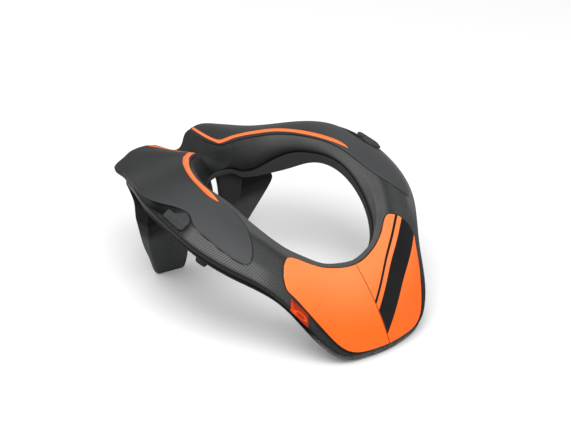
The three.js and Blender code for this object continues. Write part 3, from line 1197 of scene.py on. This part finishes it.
def pair(r: Array, z: Array) -> Array:
    """Radius and height as one array."""
    return np.stack([r, z], -1)


def square_to(v: Array) -> Array:
    """Directions in a section turned a quarter to the left."""
    return np.stack([-v[..., 1], v[..., 0]], -1)


@dataclass(frozen=True)
class CollarForm(Loft):
    """The collar: up the inner wall, over the crest and top, round the edge and back under.

    Attributes:
        wall: Shares of the way up the inner wall where it swells.
        crest_round: How far the round of the crest reaches before and past it, and its lift.
        crowned: Shares of the way over the top, and of the crown there.
        under: Shares of the way back along the underside.
    """

    wall: tuple[float, float] = (0.3, 0.7)
    crest_round: tuple[float, float, float] = (2.0, 5.0, 1.5)
    crowned: tuple[tuple[float, float], ...] = ((0.35, 1.0), (0.72, 0.9))
    under: tuple[float, float] = (0.4, 0.8)

    def corners(self, angle: Array) -> dict[str, Array]:
        """The section's lip, crest, edge and lower edge, its top's directions and the table's columns.

        Args:
            angle: Angles from the front, up to the back.

        Returns:
            Points and directions in radius and height, by name, with the columns.
        """
        p = SECTIONS.at(angle)
        lip, crest = pair(p["lip_r"], p["lip_z"]), pair(p["crest_r"], p["crest_z"])
        edge = pair(p["edge_r"], p["edge_z"])
        over = unit(edge - crest)
        square = square_to(over)
        low = edge - square * p["skirt"][..., None]
        return {**p, "lip": lip, "crest": crest, "edge": edge, "over": over, "square": square, "low": low}

    def control(self, angle: Array) -> Array:
        """Thirteen control points, with the edges doubled to keep them firm.

        Args:
            angle: Angles from the front, up to the back.

        Returns:
            The points.
        """
        c = self.corners(angle)
        lip, crest, edge, low = c["lip"], c["crest"], c["edge"], c["low"]
        swell = pair(c["swell"], 0 * c["swell"])
        before, past, lift = self.crest_round
        crown = c["square"] * c["crown"][..., None]
        points = [
            lip,
            *(lerp(lip, crest, t) - swell for t in self.wall),
            crest - c["over"] * before,
            crest + c["over"] * past + c["square"] * lift,
            *(lerp(crest, edge, t) + crown * share for t, share in self.crowned),
            edge, edge, low, low,
            *(lerp(low, lip, t) for t in self.under),
        ]
        return np.stack(points, -2)

    def underside(self, x: Array, y: Array) -> Array:
        """Height of the underside over points of the floor plan: on the line from lip to lower edge.

        Args:
            x: Places to the wearer's left.
            y: Places to the back.

        Returns:
            The heights.
        """
        angle = np.degrees(np.arctan2(np.abs(x), NECK_AXIS_Y - y))
        c = self.corners(angle)
        reach = c["low"][..., 0] - c["lip"][..., 0]
        t = np.clip((np.hypot(x, y - NECK_AXIS_Y) - c["lip"][..., 0]) / reach, 0, 1)
        return lerp(c["lip"][..., 1], c["low"][..., 1], t)


@dataclass(frozen=True)
class PadForm(Loft):
    """The base pad, which lies along the underside of the collar.

    Attributes:
        collar: The collar above it.
        gap: Clearance to the collar.
        edge: Thickness along the outer edge.
        spare: Thickness added to the table's along the inner edge.
        across: Shares of the way across where it has control points.
    """

    collar: CollarForm
    gap: float = 0.1
    edge: float = 3.4
    spare: float = 0.6
    across: tuple[float, ...] = (0.15, 0.5, 0.85)

    def corners(self, angle: Array) -> tuple[Array, Array, Array, Array]:
        """Outer and inner corner of the upper face, and of the lower face.

        Args:
            angle: Angles from the front, up to the back.

        Returns:
            The four corners.
        """
        c = self.collar.corners(angle)
        run = unit(c["lip"] - c["low"])
        down = square_to(run)
        outer = c["low"] + down * self.gap - run * c["flange"][..., None]
        inner = c["lip"] + down * self.gap
        thick = (c["pad_in"] + self.spare)[..., None]
        return outer, inner, outer + down * self.edge, inner + down * thick

    def control(self, angle: Array) -> Array:
        """Fourteen control points, with the corners doubled.

        Args:
            angle: Angles from the front, up to the back.

        Returns:
            The points.
        """
        outer, inner, outer_low, inner_low = self.corners(angle)
        top = [lerp(inner, outer, t) for t in self.across]
        under = [lerp(outer_low, inner_low, t) for t in self.across]
        points = [inner_low, inner_low, inner, inner, *top, outer, outer, outer_low, outer_low, *under]
        return np.stack(points, -2)


def laid_on(
    form: Loft, angle: Array, step: Array, thick: float, roll: float, lift: float, sink: float
) -> Surface:
    """A plate that lies on a surface, with a rolled edge.

    Its face rises from the edge by a quarter ellipse of the distance to the outline.

    Args:
        form: The surface.
        angle: Angles of the plate's grid, shaped (n, m).
        step: Steps of the plate's grid, alike.
        thick: Rise of the face.
        roll: How far in from the edge the rise goes.
        lift: Height of the edge above the surface.
        sink: Depth of the hidden underside below the edge.

    Returns:
        The plate, with its trace noted.
    """
    base = form.point(angle, step)
    out = form.directions(angle, step)[2]
    edge = distance_to(base.reshape(-1, 3), border(base)).reshape(angle.shape)
    rise = thick * np.sqrt(1 - (1 - np.clip(edge / roll, 0, 1)) ** 2)
    along = run_length(base[:, base.shape[1] // 2])
    trace = np.stack([np.broadcast_to(along[:, None], edge.shape), run_length(base), edge], -1)
    top = base + out * (lift + rise)[..., None]
    return slab(top, base + out * (lift - sink), {TRACE: trace})


def outline_grid(outline: Table, rows: int, across: int) -> tuple[Array, Array]:
    """Angles and steps of a grid within an outline, closer together along its edges.

    Args:
        outline: The outline's rows, from the inner to the outer edge.
        rows: Rows to make.
        across: Points on each.

    Returns:
        Angles and steps, shaped (rows, across).
    """
    row_ease, across_ease = 0.8, 0.9
    row = outline.at(outline.last * dense_ends(rows, row_ease))
    w = dense_ends(across, across_ease)
    angle = lerp(row["in_angle"][:, None], row["out_angle"][:, None], w)
    return angle, lerp(row["in_step"][:, None], row["out_step"][:, None], w)


@dataclass(frozen=True)
class Blade:
    """A plate that hangs below the collar, as level sections by height.

    Attributes:
        rows: Its table.
        corner: Radius of the section's corners.
        foot: Radius of the round lower edge.
        headroom: Clearance to the collar's underside, below nought to reach into it.
        levels: Sections to make.
        crowd: Power that crowds them towards the foot.
        neck_levels: Levels from the collar down to the first section.
        around: Points on each.
        thinnest: Half of the least thickness.
    """

    rows: Table
    corner: float
    foot: float
    headroom: float
    levels: int = 130
    crowd: float = 1.6
    neck_levels: int = 5
    around: int = 96
    thinnest: float = 0.3

    def surface(self, collar: CollarForm) -> Surface:
        """The blade of the left side.

        Each section is a polygon with round corners, drawn in near the foot by a quarter circle, and the top
        ring is raised to the collar.

        Args:
            collar: The collar that it hangs from.

        Returns:
            The closed surface.
        """
        t = np.linspace(0, 1, self.levels)
        row = self.rows.at(self.rows.last * (1 - (1 - t) ** self.crowd))
        near = self.foot - (row["height"] - self.rows.rows[-1][0])
        drawn = self.foot - np.sqrt(np.maximum(0, self.foot**2 - np.maximum(near, 0) ** 2))
        inner, outer = row["inner_x"] + drawn, row["outer_x"] - drawn
        thin = np.maximum(row["inner_thick"] / 2 - drawn, self.thinnest)
        thick = np.maximum(row["outer_thick"] / 2 - drawn, self.thinnest)
        y = NECK_AXIS_Y + row["middle_y"]
        near_y, far_y = y - row["twist"] / 2, y + row["twist"] / 2
        front = [pair(inner, near_y - thin), pair(outer, far_y - thick)]
        back = [pair(outer, far_y + thick), pair(inner, near_y + thin)]
        plan = rounded_polygon(np.stack(front + back, -2), self.corner, self.around)
        height = np.broadcast_to(row["height"][:, None, None], (*plan.shape[:2], 1))
        rings = np.concatenate([plan, height], -1)
        top = rings[:1].copy()
        top[..., 2] = collar.underside(top[..., 0], top[..., 1]) - self.headroom
        neck = lerp(top, rings[:1], np.linspace(0, 1, self.neck_levels)[:-1, None, None])
        whole = np.concatenate([neck, rings])
        return tube(whole, {MARKS: np.zeros_like(whole)})


def seated(points: Array, origin: Array, axes: tuple[Array, Array, Array]) -> Array:
    """Points of a piece's own frame set down at an origin with its axes along three directions."""
    return origin + points @ np.stack(axes)


@dataclass(frozen=True)
class Dressing:
    """Where the collar is ribbed, and where it is painted dark with shade.

    The soft steps are of degrees from the front where they are named front or back, of millimetres from a
    panel for gap_near, and otherwise of steps along the section.

    Attributes:
        wall_low: Start of the fine ribs on the inner wall.
        wall_high: Their end.
        wall_back: Where they end behind the neck.
        wall_share: Their strength.
        over_in: Start of the ribs beside the panel.
        over_out: Their end.
        arm_front: Start of those ribs along the arm.
        arm_back: Their end.
        full_front: Where they grow to full strength along the arm.
        full_in: Where they do across it.
        arm_share: Their strength at first, and what full strength adds.
        foot_top: Top of the painted shade at the foot of the wall, in front and behind.
        foot_back: Where it goes from one to the other.
        foot_full: Where the painted shade at the foot is darkest.
        foot_low: Its lower end.
        rim_in: Inner side of the painted shade on the rim along the outer edge.
        rim_front: Its front end.
        gap_near: Width of the painted shadow in the gap below the chest.
        gap_in: Its inner side.
        gap_back: Its end along the arm.
    """

    wall_low: Ramp = Ramp(-0.6, -0.1)
    wall_high: Ramp = Ramp(4.6, 4.0)
    wall_back: Ramp = Ramp(170, 140)
    wall_share: float = 0.75
    over_in: Ramp = Ramp(4.1, 5.1)
    over_out: Ramp = Ramp(7.3, 6.8)
    arm_front: Ramp = Ramp(28, 52)
    arm_back: Ramp = Ramp(92, 87)
    full_front: Ramp = Ramp(48, 58)
    full_in: Ramp = Ramp(5.8, 6.1)
    arm_share: tuple[float, float] = (0.42, 0.55)
    foot_top: tuple[float, float] = (1.6, 2.8)
    foot_back: Ramp = Ramp(90, 130)
    foot_full: float = 0.5
    foot_low: Ramp = Ramp(-1.4, -1.0)
    rim_in: Ramp = Ramp(7.1, 7.35)
    rim_front: Ramp = Ramp(30, 38)
    gap_near: Ramp = Ramp(3.4, 1.8)
    gap_in: Ramp = Ramp(5.8, 6.2)
    gap_back: Ramp = Ramp(35, 31)

    def shares(self, turn: Array, step: Array, edge: Array) -> tuple[Array, Array]:
        """How far points are ribbed, and how far they are painted dark with shade, from 0 to 1.

        Each place is a product of soft steps.

        Args:
            turn: Degrees from the front.
            step: Steps along the section.
            edge: Distances to the nearest panel in millimetres.

        Returns:
            The two shares.
        """
        wall = self.wall_low.at(step) * self.wall_high.at(step) * self.wall_back.at(turn)
        over = self.over_in.at(step) * self.over_out.at(step)
        full = self.full_front.at(turn) * self.full_in.at(step)
        least, added = self.arm_share
        arm = over * self.arm_back.at(turn) * self.arm_front.at(turn) * (least + added * full)
        # painted shade: the wall's dark foot, the rim along the outer edge and the shadow in the gap below
        # the chest
        top = lerp(*self.foot_top, self.foot_back.at(turn))
        foot = smooth((top - step) / (top - self.foot_full)) * self.foot_low.at(step)
        rim = self.rim_in.at(step) * self.rim_front.at(turn)
        gap = self.gap_near.at(edge) * self.gap_in.at(step) * self.gap_back.at(turn)
        return np.clip(self.wall_share * wall + arm, 0, 1), np.max([rim, gap, foot], axis=0)


@dataclass(frozen=True)
class CollarBody:
    """The moulded collar and the foam pad under it.

    Attributes:
        form: The collar's surface.
        split: Half of the front split, in degrees.
        corner: Radius of the split's edges.
        mesh: Rings of the collar, and points on each.
        pad_mesh: Rings of the pad, and points on each.
        hollow_depth: Depth of the hollow behind each strap hook.
        hollow_at: Angle and step of its middle.
        hollow_half: Its half length in degrees and its half width in steps.
        hollow_slant: Steps that it goes outward for each degree.
        line_back: Degrees over which the line round the panel ends behind the hook.
        line_in: Steps over which it ends there.
        line_clear: Distance added to hide it, in millimetres.
        middle_step: Step from which the way across is measured.
        pad_outside: Steps over which the pad's outer side starts.
        pad_front: Degrees over which its front lip, paled as painted light, gives way to the rim darkened as
            painted shade.
        dressing: Where the collar is ribbed.
        shell: Finish of the collar.
        foam: Finish of the pad.
        fill: How full the foam is; not used.
    """

    form: CollarForm
    split: float = 0.03
    corner: float = 0.9
    mesh: tuple[int, int] = (690, 104)
    pad_mesh: tuple[int, int] = (420, 84)
    hollow_depth: float = 3.5
    hollow_at: tuple[float, float] = (108.5, 6.5)
    hollow_half: tuple[float, float] = (6.8, 0.42)
    hollow_slant: float = 0.052
    line_back: Ramp = Ramp(114, 120)
    line_in: Ramp = Ramp(5.5, 5.8)
    line_clear: float = 3.0
    middle_step: float = 5.0
    pad_outside: Ramp = Ramp(6.2, 6.7)
    pad_front: Ramp = Ramp(36, 30)
    dressing: Dressing = Dressing()
    shell: RibbedMoulding = RibbedMoulding()
    foam: ClosedFoam = ClosedFoam()
    fill: float = 0.9

    def hollow(self, turn: Array, step: Array) -> Array:
        """How deep in the hook's hollow points lie, from 0 to 1: a flat-bottomed bell, slanting outward.

        Args:
            turn: Degrees from the front.
            step: Steps along the section.

        Returns:
            The depths.
        """
        turn = turn - self.hollow_at[0]
        shift = step - self.hollow_at[1] - self.hollow_slant * turn
        return np.exp(-((turn / self.hollow_half[0]) ** 4) - (shift / self.hollow_half[1]) ** 4)

    def edges(self, base: Array, outlines: list[Array]) -> Array:
        """Distances from the collar's points to the nearest outline, found on the left half and mirrored.

        Args:
            base: The collar's points, ring by ring.
            outlines: Outlines on the left side.

        Returns:
            Distances in millimetres.
        """
        half = (len(base) + 1) // 2
        left = base[:half].reshape(-1, 3)
        edge = np.min([distance_to(left, line) for line in outlines], axis=0).reshape(half, -1)
        return np.concatenate([edge, edge[: len(base) - half][::-1]])

    def build(self, outlines: list[Array]) -> None:
        """Builds and dresses the collar and its pad.

        Args:
            outlines: Outlines of the pieces let into the left side.
        """
        angle, step, drawn = self.form.ring(*self.mesh, self.split, self.corner)
        turn = from_front(angle)
        base = self.form.point(angle, step)
        deep = self.hollow(turn, step)
        points = self.form.lifted(angle, step, -drawn - self.hollow_depth * deep)
        edge = self.edges(base, outlines)
        edge = edge + self.line_clear * self.line_back.at(turn) * self.line_in.at(step)
        along = run_length(self.form.point(angle[:, 0], np.full(len(angle), self.middle_step)))
        along = np.minimum(along, along[-1] - along)
        across = run_length(base)
        across = across - across[:, [np.abs(step[0] - self.middle_step).argmin()]]
        trace = np.stack([np.broadcast_to(along[:, None], edge.shape), across, edge], -1)
        # marks: depth in the hook's hollow, painted dark there as shade; how far ribbed; how far painted
        # dark with shade
        marks = np.stack([deep, *self.dressing.shares(turn, step, edge)], -1)
        put("collar_shell", tube(points, {TRACE: trace, MARKS: marks}), self.shell)

        pad = PadForm(self.form)
        angle, step, drawn = pad.ring(*self.pad_mesh, self.split, self.corner)
        points = pad.lifted(angle, step, -drawn)
        points[..., 2] = np.maximum(points[..., 2], 0)
        outside = self.pad_outside.at(step)
        front = self.pad_front.at(from_front(angle))
        # the pad's marks: painted light on the front lip, painted shade on the outer rim
        marks = np.stack([0 * outside, outside * front, outside * (1 - front)], -1)
        put("base_pad", tube(points, {MARKS: marks}), self.foam)


@dataclass(frozen=True)
class StrapHook:
    """A faceted bar on the arm, free behind its foot.

    Attributes:
        angle: Where it stands round the neck.
        step: Where it stands across the section.
        shoulder: Share of its height where the sides lean in.
        ridge: Where the flat top starts and ends, across the bar.
        corner: Radius of its edges.
        mesh: Sections along it, and points on each.
        ease: How far the sections crowd at its ends.
        finish: Its finish.
    """

    angle: float = 97.5
    step: float = 6.4
    shoulder: float = 0.45
    ridge: tuple[float, float] = (-2.4, -0.4)
    corner: float = 0.7
    mesh: tuple[int, int] = (90, 72)
    ease: float = 0.5
    finish: GrainedMoulding = GrainedMoulding(
        base=(0.030, 0.031, 0.032, 1), pale=(0.054, 0.055, 0.057, 1), size=0.5
    )

    def frame(self, form: Loft) -> tuple[Array, tuple[Array, Array, Array]]:
        """Its origin on the left arm and its axes: forward, across and out.

        Args:
            form: The surface that it stands on.

        Returns:
            The origin and the axes.
        """
        at = np.array(self.angle), np.array(self.step)
        back, _, out = form.directions(*at)
        run = unit(-back)
        return form.point(*at), (run, np.cross(out, run), out)

    def build(self, form: Loft, side: Side) -> None:
        """Builds and dresses the hook of one side: a six-sided section carried along the bar.

        Args:
            form: The surface that it stands on.
            side: The side.
        """
        sections, around = self.mesh
        row = HOOK_ROWS.at(HOOK_ROWS.last * dense_ends(sections, self.ease))
        inner, outer, top, under = (row[key] for key in ("inner", "outer", "top", "under"))
        lean = lerp(under, top, self.shoulder)
        first, last = (0 * top + place for place in self.ridge)
        low = [pair(inner, under), pair(outer, under), pair(outer, lean)]
        high = [pair(last, top), pair(first, top), pair(inner, lean)]
        section = rounded_polygon(np.stack(low + high, -2), self.corner, around)
        along = np.broadcast_to(row["along"][:, None, None], (*section.shape[:2], 1))
        rings = np.concatenate([along, section], -1)
        surface = tube(seated(rings, *self.frame(form)))
        put(f"strap_hook_{side.label}", surface.on(side), self.finish)


@dataclass(frozen=True)
class StrapLug:
    """A small rounded tab that hangs from the rim of the arm.

    Attributes:
        angle: Where it hangs round the neck.
        width: Along the rim.
        drop: Below the rim.
        thick: Through it.
        corner: Radius of its lower corners.
        bevel: Radius of its edges.
        inset: How far in from the rim it hangs.
        root: How far it reaches up into the pad.
        reach: Degrees either way over which the rim's run is taken.
        mesh: Outlines through it, and points on each.
        finish: Its finish.
    """

    angle: float = 81.8
    width: float = 12.0
    drop: float = 10.0
    thick: float = 6.0
    corner: float = 4.5
    bevel: float = 1.6
    inset: float = 4.5
    root: float = 1.5
    reach: float = 2.0
    mesh: tuple[int, int] = (24, 56)
    finish: GrainedMoulding = GrainedMoulding(base=(0.005, 0.005, 0.0055, 1), pale=(0.011, 0.011, 0.012, 1))

    def frame(self, pad: PadForm) -> tuple[Array, tuple[Array, Array, Array]]:
        """Its origin under the pad's rim and its axes: along the rim, up and outward.

        Args:
            pad: The pad that it hangs from.

        Returns:
            The origin and the axes.
        """
        turns = np.array([self.angle - self.reach, self.angle, self.angle + self.reach])
        _, _, low, inner = pad.corners(turns)
        face = unit(inner - low)
        rim = round_neck(turns, low)
        hang = round_neck(turns, low + face * self.inset)[1]
        run = unit(rim[2] - rim[0])
        outward = hang - round_neck(turns, low + face * (self.inset + 1))[1]
        outward = unit(outward - run * (outward @ run))
        up = -np.cross(run, outward)
        return hang, (np.cross(up, outward), up, outward)

    def build(self, pad: PadForm, side: Side) -> None:
        """Builds and dresses the lug of one side: an outline carried through its thickness, edges round.

        Args:
            pad: The pad that it hangs from.
            side: The side.
        """
        layers, around = self.mesh
        turn = np.linspace(-np.pi / 2, np.pi / 2, layers)
        depth = np.sin(turn) * self.thick / 2
        near = np.maximum(np.abs(depth) - self.thick / 2 + self.bevel, 0)
        drawn = self.bevel - np.sqrt(self.bevel**2 - near**2)
        half = self.width / 2 - drawn
        low, high = drawn - self.drop, self.root + 0 * drawn
        corners = np.stack([pair(-half, high), pair(-half, low), pair(half, low), pair(half, high)], -2)
        outline = rounded_polygon(corners, self.corner, around)
        through = np.broadcast_to(depth[:, None, None], (*outline.shape[:2], 1))
        surface = tube(seated(np.concatenate([outline, through], -1), *self.frame(pad)))
        put(f"strap_lug_{side.label}", surface.on(side), self.finish)


@dataclass(frozen=True)
class ShoulderArm:
    """The panel on an arm and the stripe along it.

    Attributes:
        form: The collar's surface.
        thick: How far the panel's face stands above its edge.
        roll: How far in from the edge the panel's face is rolled.
        stripe_thick: How far the stripe stands above the panel.
        stripe_roll: How far in from the edge the stripe is rolled.
        lift: Height of the panel's edge above the collar.
        sink: How far the undersides are let in.
        mesh: Rows of the panel, and points on each.
        stripe_mesh: Rows of the stripe, and points on each.
        panel: Finish of the panel.
        trim: Finish of the stripe.
    """

    form: CollarForm
    thick: float = 1.1
    roll: float = 1.4
    stripe_thick: float = 0.45
    stripe_roll: float = 0.5
    lift: float = 0.1
    sink: float = 0.9
    mesh: tuple[int, int] = (240, 72)
    stripe_mesh: tuple[int, int] = (260, 18)
    panel: SatinPanel = SatinPanel()
    trim: OrangeFace = OrangeFace(painted_light_fade=(-1.0, 8.0))

    def build(self, side: Side) -> None:
        """Builds and dresses the panel and the stripe of one side.

        Args:
            side: The side.
        """
        grid = outline_grid(SHOULDER_OUTLINE, *self.mesh)
        plate = laid_on(self.form, *grid, self.thick, self.roll, self.lift, self.sink)
        put(f"shoulder_panel_{side.label}", plate.on(side), self.panel)
        grid = outline_grid(STRIPE_OUTLINE, *self.stripe_mesh)
        height = self.lift + self.thick
        strip = laid_on(self.form, *grid, self.stripe_thick, self.stripe_roll, height, self.sink)
        put(f"trim_stripe_{side.label}", strip.on(side), self.trim)


@dataclass(frozen=True)
class ReleaseTab:
    """The lever at the lower edge of the chest, on the wearer's right.

    Attributes:
        angles: Where it starts and ends round the neck.
        steps: Where it starts and ends across the section.
        thick: Its height.
        rim: Share of its height at the rim.
        square: How square the pillow is; an even power.
        ridge: Height of the raised ring for the finger.
        oval_at: Middle of the ring, as shares of the way along and across.
        oval_half: Its half length and half width, alike.
        oval_lean: How far it leans across for each share along.
        oval_line: Width of the ring as a share of the oval.
        stair: Where the slanting step at one end rises.
        stair_lean: How far the step slants across.
        stair_height: Height of the step as a share of the ring's.
        plain: Relief noted where the face is plain.
        mesh: Rows along it, and points on each.
        ease: How far they crowd at its edges.
        lift: Clearance below it.
        finish: Its finish.
    """

    angles: tuple[float, float] = (35.0, 42.0)
    steps: tuple[float, float] = (6.46, 7.62)
    thick: float = 3.0
    rim: float = 0.35
    square: int = 6
    ridge: float = 0.75
    oval_at: tuple[float, float] = (0.45, 0.52)
    oval_half: tuple[float, float] = (0.3, 0.22)
    oval_lean: float = 0.3
    oval_line: float = 0.22
    stair: Ramp = Ramp(0.95, 1.03)
    stair_lean: float = 0.35
    stair_height: float = 0.6
    plain: float = 0.25
    mesh: tuple[int, int] = (90, 64)
    ease: float = 0.8
    lift: float = 0.6
    finish: TabPlastic = TabPlastic()

    def grid(self) -> tuple[Array, Array, Array, Array]:
        """Shares of the way along and across the tab, with their angles and steps."""
        t, w = np.meshgrid(*(dense_ends(count, self.ease) for count in self.mesh), indexing="ij")
        return t, w, lerp(*self.angles, t), lerp(*self.steps, w)

    def build(self, form: CollarForm) -> None:
        """Builds and dresses the tab: a pillow with a raised oval ring and a slanting step at one end.

        Args:
            form: The surface that it lies on.
        """
        t, w, angle, step = self.grid()
        round_t = np.sqrt(np.maximum(0, 1 - (2 * t - 1) ** self.square))
        round_w = np.sqrt(np.maximum(0, 1 - (2 * w - 1) ** self.square))
        past = t - self.oval_at[0]
        aside = w - self.oval_at[1] - self.oval_lean * past
        oval = (past / self.oval_half[0]) ** 2 + (aside / self.oval_half[1]) ** 2
        ring = np.exp(-(((np.sqrt(oval) - 1) / self.oval_line) ** 2))
        stair = self.stair.at(t + self.stair_lean * w)
        relief = np.clip(ring + self.stair_height * stair, 0, 1) * round_t * round_w
        rise = lerp(self.rim, 1, round_t * round_w) * (self.thick - self.ridge) + self.ridge * relief
        top = form.lifted(angle, step, self.lift + rise)
        under = form.lifted(angle, step, np.full_like(rise, self.lift))
        # the noted relief drives painted shade in the low places and a painted highlight on the ridge
        surface = slab(top, under, {RELIEF: lerp(self.plain, 1, relief)})
        put("release_tab", surface.on(Side.RIGHT), self.finish, Body.TAB)


@dataclass(frozen=True)
class ChestPlate:
    """The two halves of the chest plate.

    Attributes:
        form: The collar's surface.
        thick: How far the face stands above its edge.
        roll: How far in from the edge the face is rolled.
        lift: Height of the edge above the collar.
        sink: How far the underside is let in.
        mesh: Rows of a half, and points on each.
        finishes: Finish of each half.
    """

    form: CollarForm
    thick: float = 1.0
    roll: float = 0.8
    lift: float = 0.1
    sink: float = 0.9
    mesh: tuple[int, int] = (150, 96)
    finishes: dict[Side, OrangeFace] = field(
        default_factory=lambda: {
            Side.LEFT: OrangeFace(bands=((14.8, 32.8), (7.8, 10.3))),
            Side.RIGHT: OrangeFace(),
        }
    )

    def build(self, side: Side) -> None:
        """Builds and dresses one half.

        Args:
            side: The side.
        """
        grid = outline_grid(CHEST_OUTLINE, *self.mesh)
        plate = laid_on(self.form, *grid, self.thick, self.roll, self.lift, self.sink)
        put(f"chest_panel_{side.label}", plate.on(side), self.finishes[side])


@dataclass(frozen=True)
class BackSupport:
    """A paddle that rests on the back and the soft tongue in front of it.

    Attributes:
        form: The collar's surface.
        paddle: Shape of the paddle.
        tongue: Shape of the tongue.
        moulding: Finish of the paddle, with painted shade high up under the collar.
        foam: Finish of the tongue.
        fill: How full the foam is; not used.
    """

    form: CollarForm
    paddle: Blade = Blade(PADDLE_ROWS, corner=3.2, foot=2.2, headroom=-1.0)
    tongue: Blade = Blade(TONGUE_ROWS, corner=3.4, foot=2.2, headroom=1.0)
    moulding: GrainedMoulding = GrainedMoulding(
        base=(0.023, 0.024, 0.024, 1), pale=(0.052, 0.054, 0.054, 1), dim=(46.0, 62.0)
    )
    foam: ClosedFoam = ClosedFoam(skin=(0.02, 0.02, 0.021, 1))
    fill: float = 0.8

    def build(self, side: Side) -> None:
        """Builds and dresses the paddle and the tongue of one side.

        Args:
            side: The side.
        """
        put(f"back_paddle_{side.label}", self.paddle.surface(self.form).on(side), self.moulding)
        tongue = self.tongue.surface(self.form).on(side)
        put(f"neck_tongue_{side.label}", tongue, self.foam)


@dataclass(frozen=True)
class SoftLight:
    """A broad lamp.

    Attributes:
        name: Its name.
        place: Where it stands, in metres.
        size: Its width.
        power: Its power in watts.
    """

    name: str
    place: tuple[float, float, float]
    size: float
    power: float

    def build(self, target: Vector) -> None:
        """Hangs the lamp and points it at the target.

        Args:
            target: A point in metres.
        """
        lamp = bpy.data.lights.new(self.name, "AREA")
        lamp.shape = "DISK"
        lamp.size = self.size
        lamp.energy = self.power
        piece = bpy.data.objects.new(self.name, lamp)
        piece.location = self.place
        piece.rotation_euler = (target - Vector(self.place)).to_track_quat("-Z", "Y").to_euler()
        bpy.context.scene.collection.objects.link(piece)


@dataclass(frozen=True)
class Studio:
    """A pale floor, soft lamps and the camera.

    Attributes:
        picture: Width and height of the picture in pixels.
        focal: Focal length in pixels.
        azimuth: Degrees that the camera has gone round from the front.
        elevation: Degrees above the horizon.
        anchor: A point at the lower front of the brace, in millimetres.
        anchor_pixel: Where that point lies in the picture.
        scale: Millimetres for each pixel there.
        sensor: Width of the camera's sensor in millimetres.
        sight: How far the camera sees, in metres.
        floor_half: Half the floor's side, in metres.
        floor_tint: Colour of the floor.
        mottle: Size of the floor's mottle in millimetres.
        mottle_shade: Share of the colour in its darker places.
        floor_roughness: Of the floor.
        sky: Brightness of the surroundings.
        aim: The point that the lamps face, in metres.
        lights: The lamps.
    """

    picture: tuple[int, int] = (571, 429)
    focal: float = 3000.0
    azimuth: float = -43.6
    elevation: float = 26.4
    anchor: tuple[float, float, float] = (0.0, -157.4, 0.0)
    anchor_pixel: tuple[float, float] = (390.0, 352.0)
    scale: float = 0.94
    sensor: float = 36.0
    sight: float = 50.0
    floor_half: float = 6.0
    floor_tint: Colour = (0.93, 0.93, 0.93, 1)
    mottle: float = 180.0
    mottle_shade: float = 0.985
    floor_roughness: float = 0.9
    sky: float = 0.58
    aim: tuple[float, float, float] = (0.0, 0.0, 0.08)
    lights: tuple[SoftLight, ...] = (
        SoftLight("top", (-0.8, 0.2, 1.8), 2.0, 19.0),
        SoftLight("key", (-0.8, -1.2, 1.7), 1.6, 33.0),
    )

    def camera(self) -> None:
        """Stands the camera so that the anchor lands on its pixel, with no roll or shift."""
        a, e = math.radians(self.azimuth), math.radians(self.elevation)
        right = np.array([math.cos(a), math.sin(a), 0])
        up = np.array([-math.sin(a) * math.sin(e), math.cos(a) * math.sin(e), math.cos(e)])
        back = np.cross(right, up)
        off = np.array(self.anchor_pixel) - np.array(self.picture) / 2
        place = np.array(self.anchor) + self.scale * (back * self.focal - right * off[0] + up * off[1])
        data = bpy.data.cameras.new("camera")
        data.sensor_width = self.sensor
        data.lens = self.sensor * self.focal / self.picture[0]
        data.clip_end = self.sight
        piece = bpy.data.objects.new("camera", data)
        turned = Matrix(np.stack([right, up, back], 1).tolist()).to_4x4()
        piece.matrix_world = Matrix.Translation((place * MM).tolist()) @ turned
        bpy.context.scene.collection.objects.link(piece)
        bpy.context.scene.camera = piece

    def floor(self) -> None:
        """Lays the floor: one flat square with a faint mottle."""
        h = self.floor_half
        mesh = bpy.data.meshes.new("floor")
        mesh.from_pydata([(-h, -h, 0), (h, -h, 0), (h, h, 0), (-h, h, 0)], [], [(0, 1, 2, 3)])
        b = Bench("floor")
        shade = tuple(self.mottle_shade * c for c in self.floor_tint[:3]) + (1,)
        tint = b.blend(b.noise(self.mottle, 3.0), self.floor_tint, shade)
        mesh.materials.append(b.close(Base_Color=tint, Roughness=self.floor_roughness))
        piece = bpy.data.objects.new("floor", mesh)
        bpy.context.scene.collection.objects.link(piece)

    def build(self) -> None:
        """Sets up the floor, the surroundings, the lamps and the camera."""
        scene = bpy.context.scene
        scene.view_settings.view_transform = "Standard"
        scene.world = bpy.data.worlds.new("studio")
        scene.world.use_nodes = True
        sky = scene.world.node_tree.nodes["Background"].inputs
        sky["Color"].default_value = (1, 1, 1, 1)
        sky["Strength"].default_value = self.sky
        for light in self.lights:
            light.build(Vector(self.aim))
        self.floor()
        self.camera()


def main() -> None:
    """Builds the brace piece by piece, then the studio."""
    logging.basicConfig(level=logging.INFO, format="%(name)s: %(message)s")
    form = CollarForm()
    pad, hook, lug = PadForm(form), StrapHook(), StrapLug()
    traced = ((SHOULDER_OUTLINE, 120, 24), (CHEST_OUTLINE, 90, 40))
    outlines = [border(form.point(*outline_grid(*row))) for row in traced]
    CollarBody(form).build(outlines)
    for side in Side:
        ShoulderArm(form).build(side)
        ChestPlate(form).build(side)
        BackSupport(form).build(side)
        hook.build(form, side)
        lug.build(pad, side)
    ReleaseTab().build(form)
    Studio().build()


if __name__ == "__main__":
    main()
